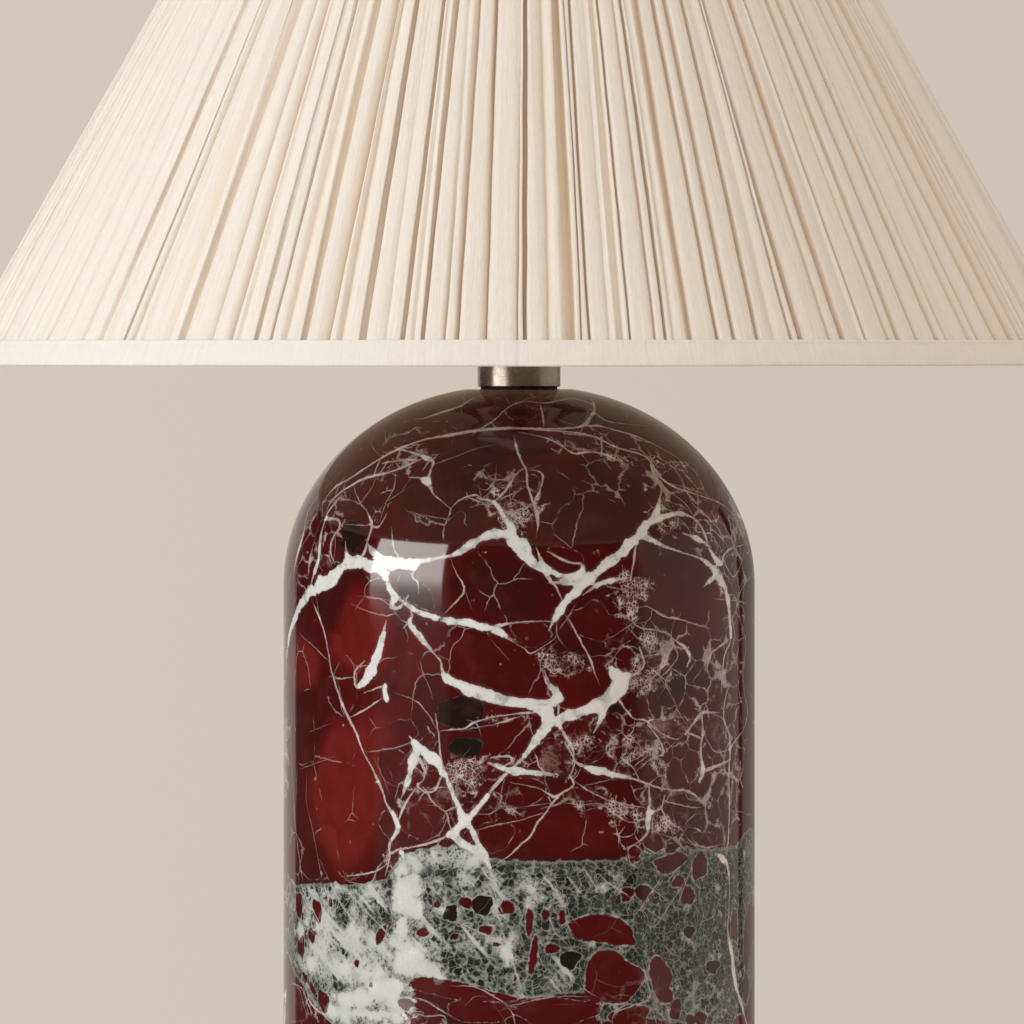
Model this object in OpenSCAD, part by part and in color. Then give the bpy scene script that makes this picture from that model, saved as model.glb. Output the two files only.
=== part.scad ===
// Table lamp: polished marble cylinder with a domed shoulder, pleated empire shade on a harp.
// Millimetres, +Z up, origin on the table under the middle of the felt. The front is towards -Y.

/* [Marble body] */
// Diameter of the marble cylinder
body_d = 166; // [156:1:180]
// Height of the marble, foot to crown
body_h = 310; // [280:1:330]
// Height of the domed shoulder
dome_h = 69.6; // [55:0.1:80]
// Radius of the flat crown where the dome curve starts
crown_r = 6.6; // [4:0.1:9]
// Diameter of the core-drilled hollow
hollow_d = 120; // [100:1:128]
// Thickness of stone left above the hollow
roof_t = 74; // [60:1:100]
// Thickness of the felt under the foot
felt_t = 2; // [1.5:0.5:3]

/* [Neck] */
// Diameter of the collar
collar_d = 29.2; // [26:0.2:32]
// Height of the collar
collar_h = 22; // [20:1:26]
// Thickness of the black gasket under the collar
gasket_t = 0.9; // [0.6:0.1:1.2]

/* [Lampholder] */
// Outside diameter of the lamp pipe
pipe_d = 9.7; // [9.3:0.1:9.8]
// Diameter of the lampholder shell
socket_d = 32.8; // [32.6:0.1:33.4]
// Diameter over the crests of the bulb's screw base
bulb_base_d = 26; // [25.6:0.1:26.2]
// Diameter of the bulb
bulb_d = 60; // [54:1:64]

/* [Harp] */
// Diameter of the harp wire
wire_d = 4.4; // [4:0.1:4.6]
// Distance between the two upright posts of the saddle
post_gap = 51; // [50:1:56]
// Radius of the harp's long side bends
bow_r = 90; // [84:1:94]

/* [Shade] */
// Outside diameter at the bottom rim
shade_bottom_d = 400; // [360:5:420]
// Outside diameter at the top rim
shade_top_d = 150; // [140:2:170]
// Height of the pleated cone, band to band
shade_h = 221; // [215:1:230]
// Gap from the crown of the marble to the bottom rim
rim_gap = 7.8; // [5:0.2:12]
// Height of the folded bands
band_h = 7.5; // [6:0.1:12]
// Depth of the pleated fabric
pleat_t = 3.2; // [2.4:0.1:4]

/* [Hidden] */
$fn = 96;

// body heights
body_r = body_d / 2;
hollow_r = hollow_d / 2;
foot_z = felt_t;
crown_z = foot_z + body_h;
seat_z = crown_z - gasket_t;          // spot face that the gasket lies on
ceiling_z = crown_z - roof_t;
plate_r = hollow_r + 8.5;
plate_z = foot_z + 20;                // underside of the steel plate
plate_t = 4;
gland_z = foot_z + 11;
gland_face = body_r - 3.2;            // floor of the counterbore behind the flange

// pipe and lampholder stack, from the collar up
pipe_r = pipe_d / 2;
pipe_bore_r = 3.2;
pipe_z0 = foot_z + 11;
check_z = crown_z + collar_h;
saddle_z = check_z + 1.5;
saddle_t = 1.6;
nut_z = saddle_z + saddle_t;
cap_z = nut_z + 4.9;
pipe_z1 = cap_z + 7;
rim_z = cap_z + 15;                   // underside of the cap's straight rim
shell_r = socket_d / 2;
shell_z0 = rim_z + 1;
shell_z1 = shell_z0 + 52;
knob_z = rim_z + 15;
block_z1 = knob_z + 6.5;
contact_z = block_z1;
bulb_z = contact_z + 3;               // tip of the bulb's contact
base_r = bulb_base_d / 2;
bulb_r = bulb_d / 2;
glass_c = bulb_z + 107 - bulb_r;      // centre of the round head
pitch = 3.63;

// harp
wire_r = wire_d / 2;
post_x = post_gap / 2;
lap_z = nut_z + 2.9;                  // foot of the half-round lap joint
lap_h = 10;
bend_r = 30;
bend_a = 40;
side_a = 35;
bow_x = post_x + bend_r * (1 - cos(bend_a)) - bow_r * cos(bend_a);   // centre line of the side bends
top_r = (bow_x + bow_r * cos(side_a) - 9) / cos(side_a);
bow_rise = bend_r * sin(bend_a) + bow_r * sin(bend_a) + bow_r * sin(side_a) + top_r * (1 - sin(side_a));
harp_z = saddle_z + 183.5;            // centre of the wire at the top
bend_z = harp_z - bow_rise;           // where the straight legs end
bow_z = bend_z + bend_r * sin(bend_a) + bow_r * sin(bend_a);
stud_seat = harp_z + wire_r + 2;
stud_r = 3.15;
stud_z1 = stud_seat + 15.8;
hub_z = stud_seat + 0.1;
hub_t = 1.6;
washer_z = hub_z + hub_t + 0.1;
finial_z = washer_z + 1.1;

// shade cone: r_out(z) is the outside of the pleats
fold_t = 0.8;
shade_z0 = crown_z + rim_gap + fold_t;
shade_z1 = shade_z0 + shade_h;
slope = (shade_bottom_d - shade_top_d) / 2 / shade_h;
lay = sqrt(1 + slope * slope);        // turns a thickness into a radius step
rim_r = shade_bottom_d / 2 - fold_t * (lay + slope);
function r_out(z) = rim_r - slope * (z - shade_z0);
function cone(z0, z1, d0, d1) = [[r_out(z0) - d0 * lay, z0], [r_out(z1) - d0 * lay, z1],
    [r_out(z1) - d1 * lay, z1], [r_out(z0) - d1 * lay, z0]];
liner_t = 0.8;
inner_d = pleat_t + liner_t + 0.1;
ring_r = 1.5;
low_ring_z = shade_z0 + ring_r + 0.3;
low_ring_x = r_out(low_ring_z) - (inner_d + ring_r + 0.1) * lay;
top_ring_z = shade_z1 - ring_r - 0.3;
top_ring_x = r_out(top_ring_z) - (inner_d + ring_r + 0.1) * lay;
arm_r = 1.5;
arm_z = hub_z + hub_t / 2;
arm_bend = 50;

// ring or disc from z0 to z1
module ring(ro, ri, z0, z1) {
    translate([0, 0, z0]) difference() {
        cylinder(r = ro, h = z1 - z0);
        if (ri > 0) translate([0, 0, -1]) cylinder(r = ri, h = z1 - z0 + 2);
    }
}

// ring with small bevels on its outer edges
module bevel_ring(ro, ri, z0, z1, c) {
    rotate_extrude() polygon([[ri, z0], [ro - c, z0], [ro, z0 + c], [ro, z1 - c], [ro - c, z1], [ri, z1]]);
}

// round bar between two points in the XZ plane
module bar(x0, z0, x1, z1, r) {
    len = norm([x1 - x0, z1 - z0]);
    translate([x0, 0, z0]) rotate([0, atan2(x1 - x0, z1 - z0), 0]) cylinder(r = r, h = len, $fn = 48);
}

// ---------------------------------------------------------------- foot

module base_felt() {
    color("#1d1a19") ring(body_r - 3, 0, 0, felt_t);
}

module base_plate() {
    color("#8c8f92") bevel_ring(plate_r, pipe_r + 0.15, plate_z, plate_z + plate_t, 0.5);
}

// outline of the dome: a quarter ellipse from the side wall to the crown
function dome(n) = [for (i = [0 : n]) let (a = 90 * i / n)
    [crown_r + (body_r - crown_r) * cos(a), crown_z - dome_h + dome_h * sin(a)]];

module marble_body() {
    color("#5e1f24") difference() {
        rotate_extrude($fn = 180) polygon(concat([[0, foot_z], [body_r - 1.2, foot_z], [body_r, foot_z + 1.2]],
            dome(40), [[0, crown_z]]));
        // recess for the steel plate, hollow, hole for the pipe, spot face for the gasket
        translate([0, 0, foot_z - 1]) cylinder(r = plate_r + 0.5, h = plate_z + plate_t - foot_z + 1);
        translate([0, 0, foot_z]) cylinder(r = hollow_r, h = ceiling_z - foot_z);
        translate([0, 0, foot_z]) cylinder(r = 5.4, h = body_h + 2);
        translate([0, 0, seat_z]) cylinder(r = 30, h = 5);
        // hole for the gland through the back wall
        translate([0, 0, gland_z]) rotate([-90, 0, 0]) cylinder(r = 5.1, h = body_r + 5, $fn = 48);
        translate([0, gland_face, gland_z]) rotate([-90, 0, 0]) cylinder(r = 7.8, h = 10, $fn = 64);
    }
}

module cord_gland() {
    color("#20201f") translate([0, 0, gland_z]) rotate([-90, 0, 0]) rotate_extrude($fn = 64) polygon([
        [3.4, plate_r - 3], [5, plate_r - 3], [5, gland_face], [7.6, gland_face],
        [7.6, body_r + 0.2], [6.9, body_r + 1.1], [5.6, body_r + 1.5], [3.4, body_r + 1.5]]);
}

// ---------------------------------------------------------------- pipe and neck

module threaded_rod() {
    color("#b9a26a") bevel_ring(pipe_r, pipe_bore_r, pipe_z0, pipe_z1, 0.6);
}

module bottom_washer() {
    color("#9a9da0") ring(11, pipe_r + 0.1, plate_z - 1.5, plate_z);
}

module hex_nut(z0, h) {
    translate([0, 0, z0]) difference() {
        cylinder(r = 8.3, h = h, $fn = 6);
        translate([0, 0, -1]) cylinder(r = pipe_r + 0.03, h = h + 2);
    }
}

module bottom_nut() {
    color("#b9a26a") hex_nut(plate_z - 6.4, 4.9);
}

module neck_gasket() {
    color("#121212") ring(collar_d / 2 - 1.1, pipe_r + 0.2, seat_z, crown_z);
}

module neck_collar() {
    color("#b8ab99") bevel_ring(collar_d / 2, pipe_r + 0.2, crown_z, check_z, 0.35);
}

module check_ring() {
    color("#b8ab99") bevel_ring(11.5, pipe_r + 0.15, check_z, saddle_z, 0.4);
}

// strip with two posts turned up at its ends, each half cut away to lap the harp
module harp_saddle() {
    color("#b8ab99") difference() {
        union() {
            translate([-post_x, -7, saddle_z]) cube([post_gap, 14, saddle_t]);
            for (s = [-1, 1]) {
                translate([s * post_x, 0, saddle_z]) cylinder(r = 7, h = saddle_t);
                translate([s * post_x, 0, saddle_z]) cylinder(r = wire_r, h = lap_z + lap_h - saddle_z, $fn = 48);
            }
        }
        translate([0, 0, saddle_z - 1]) cylinder(r = pipe_r + 0.15, h = saddle_t + 2);
        for (s = [-1, 1]) translate([s * (post_x + 5), 0, lap_z + 10]) cube([10, 10, 20], center = true);
    }
}

module saddle_nut() {
    color("#b9a26a") hex_nut(nut_z, 4.7);
}

// ---------------------------------------------------------------- lampholder

module socket_cap() {
    color("#b8ab99") difference() {
        rotate_extrude() polygon([[0, cap_z], [8, cap_z], [8, cap_z + 7], [10.5, cap_z + 8.6], [14.4, cap_z + 10.6],
            [16.8, cap_z + 13.2], [shell_r + 0.95, rim_z], [shell_r + 0.95, rim_z + 8.6], [shell_r + 1.35, rim_z + 9.3],
            [shell_r + 1.35, rim_z + 10], [shell_r + 0.1, rim_z + 10],
            [shell_r + 0.1, rim_z + 0.6], [14.6, cap_z + 12.4], [10, cap_z + 9.8], [7, cap_z + 8.2], [0, cap_z + 8.2]]);
        translate([0, 0, cap_z - 1]) cylinder(r = pipe_r + 0.05, h = 12);
        translate([0, 0, cap_z + 3.5]) rotate([0, 90, 0]) cylinder(r = 1.5, h = 12, $fn = 32);
    }
}

module cap_setscrew() {
    color("#8c8f92") translate([0, 0, cap_z + 3.5]) rotate([0, 90, 0]) difference() {
        translate([0, 0, pipe_r + 0.1]) cylinder(r = 1.4, h = 8.8 - pipe_r, $fn = 32);
        translate([-3, -0.3, 8.3]) cube([6, 0.6, 2]);
    }
}

module socket_interior() {
    color("#2b2724") difference() {
        union() {
            ring(13.4, 0, shell_z0 + 0.2, block_z1);
            ring(14.6, 0, block_z1 - 3, block_z1);
        }
        translate([0, 8, knob_z]) rotate([90, 0, 0]) cylinder(r = 1.75, h = 30, $fn = 48);
        for (s = [-1, 1]) translate([s * 14, 0, knob_z - 7]) rotate([0, 90, 0])
            cylinder(r = 1.6, h = 8, center = true, $fn = 32);
    }
}

module terminal_screws() {
    color("#c3a24f") for (s = [0, 1]) mirror([s, 0, 0]) translate([0, 0, knob_z - 7]) rotate([0, 90, 0]) difference() {
        union() {
            translate([0, 0, 10.2]) cylinder(r = 1.5, h = 3.4, $fn = 32);
            translate([0, 0, 13.5]) cylinder(r = 2.7, h = 1.2, $fn = 48);
        }
        translate([-3, -0.35, 14.2]) cube([6, 0.7, 2]);
    }
}

module centre_contact() {
    color("#c3a24f") rotate_extrude() polygon([[0, contact_z], [4.2, contact_z], [4.2, contact_z + 0.8],
        [2.6, contact_z + 2.2], [0, contact_z + 2.7]]);
}

// opening for the switch spindle through the sleeve and the shell
module spindle_way(r) {
    translate([0, 0, knob_z]) rotate([90, 0, 0]) cylinder(r = r, h = 30, $fn = 48);
}

module insulator_sleeve() {
    color("#d9cfb8") difference() {
        ring(shell_r - 0.75, 15.0, shell_z0 + 0.2, shell_z1 - 2);
        spindle_way(2.6);
    }
}

module screw_shell() {
    color("#c3a24f") rotate_extrude() polygon([[5.2, contact_z], [14.5, contact_z], [14.5, contact_z + 0.8],
        [14.1, contact_z + 1.2], [14.1, shell_z1 - 3.4], [14.8, shell_z1 - 2.6], [14.8, shell_z1 - 2.2],
        [13.7, shell_z1 - 2.2], [13.4, shell_z1 - 3.2], [13.4, contact_z + 0.8], [5.2, contact_z + 0.8]]);
}

module socket_shell() {
    color("#b8ab99") difference() {
        rotate_extrude() polygon([[shell_r - 0.7, shell_z0], [shell_r, shell_z0], [shell_r, rim_z + 10.4],
            [shell_r + 0.5, rim_z + 11.1], [shell_r, rim_z + 11.8], [shell_r, shell_z1 - 6],
            [shell_r + 0.6, shell_z1 - 5.2], [shell_r, shell_z1 - 4.4], [shell_r, shell_z1 - 0.6],
            [shell_r - 0.6, shell_z1], [shell_r - 1.2, shell_z1], [shell_r - 1.2, shell_z1 - 0.8],
            [shell_r - 0.7, shell_z1 - 1.4]]);
        spindle_way(2.8);
    }
}

module switch_spindle() {
    color("#8c8f92") translate([0, 7, knob_z]) rotate([90, 0, 0]) cylinder(r = 1.7, h = 33, $fn = 48);
}

// turned knob with a fluted grip, on the front of the lampholder
module switch_knob() {
    color("#1b1918") translate([0, 0, knob_z]) rotate([90, 0, 0]) difference() {
        union() {
            rotate_extrude($fn = 64) polygon([[0, shell_r + 2], [3.6, shell_r + 2], [4.2, shell_r + 3.4], [5.8, shell_r + 4.4],
                [5.8, shell_r + 5], [0, shell_r + 5]]);
            translate([0, 0, shell_r + 5]) linear_extrude(height = 9.4)
                polygon([for (i = [0 : 95]) let (a = i * 3.75) (6.6 + 0.35 * cos(16 * a)) * [cos(a), sin(a)]]);
            rotate_extrude($fn = 64) polygon([[0, shell_r + 14.4], [5.9, shell_r + 14.4], [5.7, shell_r + 15.3],
                [4.6, shell_r + 16.1], [2.6, shell_r + 16.6], [0, shell_r + 16.8]]);
        }
        translate([0, 0, -1]) cylinder(r = 1.72, h = 27.05, $fn = 48);
    }
}

// ---------------------------------------------------------------- bulb

// outline of the glass for a wall depth d, neck to top
function flank(d) = let (a = -38,
        p0 = [12.1 - d, bulb_z + 22.5], p1 = [13.2 - d, bulb_z + 38],
        p3 = [(bulb_r - d) * cos(a), glass_c + (bulb_r - d) * sin(a)], p2 = [p3[0] + sin(a) * 14, p3[1] - cos(a) * 14])
    [for (i = [0 : 10]) let (t = i / 10, u = 1 - t)
        u * u * u * p0 + 3 * u * u * t * p1 + 3 * u * t * t * p2 + t * t * t * p3];
function head(d) = [for (i = [1 : 15]) let (a = -38 + 128 * i / 16)
    [(bulb_r - d) * cos(a), glass_c + (bulb_r - d) * sin(a)]];
function outline(d) = concat([[0, bulb_z + 22.5]], flank(d), head(d), [[0, glass_c + bulb_r - d]]);

module bulb_glass() {
    color("#f2efe8") rotate_extrude() difference() {
        polygon(outline(0));
        translate([0, -0.01]) polygon(outline(1.1));
    }
}

module bulb_base() {
    n = 36;
    color("#b9b3a5") rotate_extrude() polygon(concat([[4.6, bulb_z + 3.4], [6.2, bulb_z + 3.4]],
        [for (i = [0 : n]) let (z = bulb_z + 6 + 15 * i / n) [base_r - 0.45 + 0.45 * cos(360 * (z - bulb_z) / pitch), z]],
        [[base_r, bulb_z + 23], [base_r, bulb_z + 26], [12.6, bulb_z + 26], [12.6, bulb_z + 22], [11.6, bulb_z + 21.5], [11.6, bulb_z + 8], [5.6, bulb_z + 4.6],
         [4.6, bulb_z + 4.6]]));
}

module bulb_insulator() {
    color("#17130f") rotate_extrude() polygon([[2.2, bulb_z + 1.2], [4.4, bulb_z + 2.2], [5, bulb_z + 3.3],
        [4.5, bulb_z + 3.3], [4.5, bulb_z + 5], [2.2, bulb_z + 5]]);
}

module bulb_contact() {
    color("#c9c5bc") rotate_extrude() polygon([[0, bulb_z], [1.4, bulb_z + 0.1], [2.6, bulb_z + 0.6], [2.9, bulb_z + 1.1],
        [2.1, bulb_z + 1.1], [2.1, bulb_z + 3], [0, bulb_z + 3]]);
}

// ---------------------------------------------------------------- harp

// the wire's centre line from the right foot to the middle: x, z and direction
half = concat([[post_x, lap_z + 0.05, 90]],
    [for (i = [0 : 6]) let (a = 180 - bend_a * i / 6)
        [post_x + bend_r + bend_r * cos(a), bend_z + bend_r * sin(a), a - 90]],
    [for (i = [1 : 16]) let (a = -bend_a + (side_a + bend_a) * i / 16)
        [bow_x + bow_r * cos(a), bow_z + bow_r * sin(a), a + 90]],
    [for (i = [1 : 10]) let (a = side_a + (90 - side_a) * i / 10)
        [bow_x + (bow_r - top_r) * cos(side_a) + top_r * cos(a), bow_z + (bow_r - top_r) * sin(side_a) + top_r * sin(a), a + 90]]);
wire = concat(half, [for (i = [len(half) - 1 : -1 : 0]) [-half[i][0], half[i][1], -half[i][2]]]);
sides = 16;

module harp() {
    n = len(wire);
    color("#b8ab99") difference() {
        union() {
            polyhedron(
                points = [for (p = wire, k = [0 : sides - 1]) let (t = 360 * (k + 0.5) / sides, u = wire_r * cos(t))
                    [p[0] + u * cos(p[2] + 90), wire_r * sin(t), p[1] + u * sin(p[2] + 90)]],
                faces = concat([[for (k = [sides - 1 : -1 : 0]) k]], [[for (k = [0 : sides - 1]) (n - 1) * sides + k]],
                    [for (i = [0 : n - 2], k = [0 : sides - 1]) let (k2 = (k + 1) % sides)
                        [i * sides + k, i * sides + k2, (i + 1) * sides + k2, (i + 1) * sides + k]]));
            ring(6.6, 0, harp_z - wire_r - 0.4, harp_z + wire_r + 0.4);
        }
        ring(2.6, 0, harp_z - 5, harp_z + 5);
        // the legs' feet are cut to half-round
        for (s = [-1, 1]) translate([s * (post_x - 4.95), 0, lap_z + lap_h / 2]) cube([10, 10, lap_h + 0.2], center = true);
    }
}

module harp_stud() {
    color("#c3a24f") rotate_extrude() polygon([[0, harp_z - wire_r - 0.4], [2.55, harp_z - wire_r - 0.4],
        [2.55, harp_z + wire_r + 0.4], [8, harp_z + wire_r + 0.4], [8, stud_seat], [stud_r, stud_seat], [stud_r, stud_z1 - 0.8],
        [stud_r - 0.8, stud_z1], [0, stud_z1]]);
}

module harp_sleeve(s) {
    color("#b8ab99") translate([s * post_x, 0, 0]) bevel_ring(wire_r + 1.15, wire_r + 0.08, nut_z + 0.2, nut_z + 14.2, 0.35);
}

module harp_sleeve_left() { harp_sleeve(-1); }
module harp_sleeve_right() { harp_sleeve(1); }

// ---------------------------------------------------------------- shade

// one arm of the spider, drawn towards +X
module arm(r) {
    bar(10, arm_z, arm_bend, arm_z, r);
    translate([arm_bend, 0, arm_z]) sphere(r = r, $fn = 48);
    bar(arm_bend, arm_z, top_ring_x, top_ring_z, r);
}

module shade_spider() {
    color("#e8e4da") difference() {
        union() {
            ring(12, 0, hub_z, hub_z + hub_t);
            for (a = [90, 210, 330]) rotate([0, 0, a]) arm(arm_r);
        }
        ring(stud_r + 0.35, 0, hub_z - 3, hub_z + 5);
        rotate_extrude($fn = 180) translate([top_ring_x, top_ring_z]) circle(r = ring_r + 0.03, $fn = 48);
        rotate_extrude() polygon([[top_ring_x, top_ring_z - 8], [top_ring_x + 9, top_ring_z - 8],
            [top_ring_x + 9, top_ring_z + 8], [top_ring_x, top_ring_z + 8]]);
    }
}

module shade_top_ring() {
    color("#e8e4da") rotate_extrude($fn = 180) translate([top_ring_x, top_ring_z]) circle(r = ring_r, $fn = 48);
}

module shade_bottom_ring() {
    color("#e8e4da") rotate_extrude($fn = 180) translate([low_ring_x, low_ring_z]) circle(r = ring_r, $fn = 48);
}

module shade_liner() {
    color("#efe9dc") rotate_extrude($fn = 180) polygon(cone(shade_z0, shade_z1, pleat_t + 0.05, pleat_t + 0.05 + liner_t));
}

module shade_pleats() {
    color("#ece3d3") rotate_extrude($fn = 180) polygon(cone(shade_z0, shade_z1, 0, pleat_t));
}

// band folded over the top edge, with a notch round each arm
module shade_top_trim() {
    z2 = shade_z1 + fold_t;
    xi = top_ring_x - ring_r - 0.25;
    color("#f0e8d9") difference() {
        rotate_extrude($fn = 180) polygon([
            [r_out(shade_z1 - band_h) + 0.15, shade_z1 - band_h], [r_out(shade_z1 - band_h) + fold_t * lay, shade_z1 - band_h],
            [r_out(z2) + fold_t * lay, z2], [xi - fold_t, z2], [xi - fold_t, shade_z1 - 5.5], [xi, shade_z1 - 5.5],
            [xi, shade_z1 + 0.1], [r_out(shade_z1) + 0.15, shade_z1 + 0.1]]);
        for (a = [90, 210, 330]) rotate([0, 0, a]) bar(arm_bend, arm_z, top_ring_x, top_ring_z, arm_r + 0.3);
    }
}

module shade_bottom_trim() {
    z2 = shade_z0 - fold_t;
    xi = low_ring_x - ring_r - 0.25;
    color("#f0e8d9") rotate_extrude($fn = 180) polygon([
        [r_out(shade_z0 + band_h) + 0.15, shade_z0 + band_h], [r_out(shade_z0) + 0.2, shade_z0 - 0.1],
        [xi, shade_z0 - 0.1], [xi, shade_z0 + 6], [xi - fold_t, shade_z0 + 6], [xi - fold_t, z2],
        [r_out(z2) + fold_t * lay, z2], [r_out(shade_z0 + band_h) + fold_t * lay, shade_z0 + band_h]]);
}

// ---------------------------------------------------------------- finial

module finial_washer() {
    color("#b8ab99") bevel_ring(8.6, stud_r + 0.4, washer_z, washer_z + 1, 0.3);
}

// outline of the finial above its foot: flange, waist and ball
function ball(c, r, a0, a1, n) = [for (i = [0 : n]) let (a = a0 + (a1 - a0) * i / n) [r * cos(a), c + r * sin(a)]];

module finial() {
    color("#b8ab99") difference() {
        rotate_extrude() polygon(concat([[0, finial_z], [7, finial_z], [7.4, finial_z + 0.5], [7.4, finial_z + 2],
            [6.8, finial_z + 2.8], [5, finial_z + 4], [4.5, finial_z + 5.6], [4.5, finial_z + 8.6], [5.2, finial_z + 9.8]],
            ball(finial_z + 18.6, 9.4, -52, 90, 24)));
        ring(stud_r + 0.06, 0, finial_z - 1, stud_z1 + 1);
    }
}

base_felt();
base_plate();
marble_body();
cord_gland();
threaded_rod();
bottom_washer();
bottom_nut();
neck_gasket();
neck_collar();
check_ring();
harp_saddle();
saddle_nut();
socket_cap();
cap_setscrew();
socket_interior();
terminal_screws();
centre_contact();
insulator_sleeve();
screw_shell();
socket_shell();
switch_spindle();
switch_knob();
bulb_glass();
bulb_base();
bulb_insulator();
bulb_contact();
harp();
harp_stud();
harp_sleeve_left();
harp_sleeve_right();
shade_spider();
shade_top_ring();
shade_bottom_ring();
shade_liner();
shade_pleats();
shade_top_trim();
shade_bottom_trim();
finial_washer();
finial();
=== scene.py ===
import math
import random
import bpy
import bmesh
import numpy as np
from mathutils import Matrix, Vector


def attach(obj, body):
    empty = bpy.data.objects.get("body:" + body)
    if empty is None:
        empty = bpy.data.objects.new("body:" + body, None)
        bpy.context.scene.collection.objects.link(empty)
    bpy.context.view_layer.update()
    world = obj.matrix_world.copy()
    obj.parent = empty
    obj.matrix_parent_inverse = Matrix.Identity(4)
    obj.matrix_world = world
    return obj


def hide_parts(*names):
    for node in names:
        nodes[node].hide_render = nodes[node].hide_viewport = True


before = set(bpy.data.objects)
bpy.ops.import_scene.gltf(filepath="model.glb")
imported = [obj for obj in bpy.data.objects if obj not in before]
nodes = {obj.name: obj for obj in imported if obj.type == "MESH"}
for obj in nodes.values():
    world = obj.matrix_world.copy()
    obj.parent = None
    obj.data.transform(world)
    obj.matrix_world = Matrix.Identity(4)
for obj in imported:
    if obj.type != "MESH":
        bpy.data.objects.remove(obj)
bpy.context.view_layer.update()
scene = bpy.context.scene
MM = 0.001


def srgb(r, g, b):
    """An 8-bit sRGB colour as linear RGBA."""
    def f(c):
        c = c / 255.0
        return c / 12.92 if c <= 0.04045 else ((c + 0.055) / 1.055) ** 2.4
    return (f(r), f(g), f(b), 1.0)


# ---------------------------------------------------------------- camera and light

CAM = Vector((0.0, -2.1, 0.326))     # metres; the camera looks level along +Y
FPX = 5959.0                         # focal length in pixels of a 1024 px frame
CX, CY = 519.0, 347.0                # where the camera's axis meets the picture

cam_data = bpy.data.cameras.new("camera")
cam_data.sensor_width = 36.0
cam_data.lens = FPX / 1024.0 * 36.0
cam_data.shift_x = -(CX - 512.0) / 1024.0
cam_data.shift_y = -(512.0 - CY) / 1024.0
cam_data.clip_start = 0.05
cam_data.clip_end = 50.0
cam = bpy.data.objects.new("camera", cam_data)
cam.location = CAM
cam.rotation_euler = (math.radians(90.0), 0.0, 0.0)
scene.collection.objects.link(cam)
scene.camera = cam

scene.view_settings.view_transform = "Standard"
scene.view_settings.look = "None"
scene.view_settings.exposure = 0.0
scene.view_settings.gamma = 1.0


def area_light(name, azimuth, height, dist, target, w, h, watts, colour):
    """A rectangular softbox, azimuth degrees left (-) or right (+) of the front."""
    a = math.radians(azimuth)
    loc = Vector((math.sin(a) * dist, -math.cos(a) * dist, height))
    d = bpy.data.lights.new(name, "AREA")
    d.shape = "RECTANGLE"
    d.size, d.size_y = w, h
    d.energy = watts
    d.color = colour
    o = bpy.data.objects.new(name, d)
    o.location = loc
    o.rotation_euler = (loc - Vector(target)).to_track_quat("Z", "Y").to_euler()
    o.visible_camera = False
    scene.collection.objects.link(o)
    return o


# the softbox is split in two: one lights the cloth and stone, the other is only seen in polished faces
key = area_light("key_softbox", -50.0, 0.45, 1.2, (0, 0, 0.28), 0.84, 0.80, 6.0, (0.82, 0.91, 1.0))
key.visible_glossy = False
shine = area_light("key_reflection", -55.5, 0.72, 1.2, (0, 0, 0.72), 0.84, 1.065, 27.0, (1.0, 0.975, 0.95))
shine.visible_diffuse = False
area_light("top_fill", -20, 1.9, 0.8, (0, 0, 0.35), 1.4, 1.0, 3.0, (1.0, 0.985, 0.965))

world = bpy.data.worlds.new("studio")
scene.world = world
world.use_nodes = True


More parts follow.
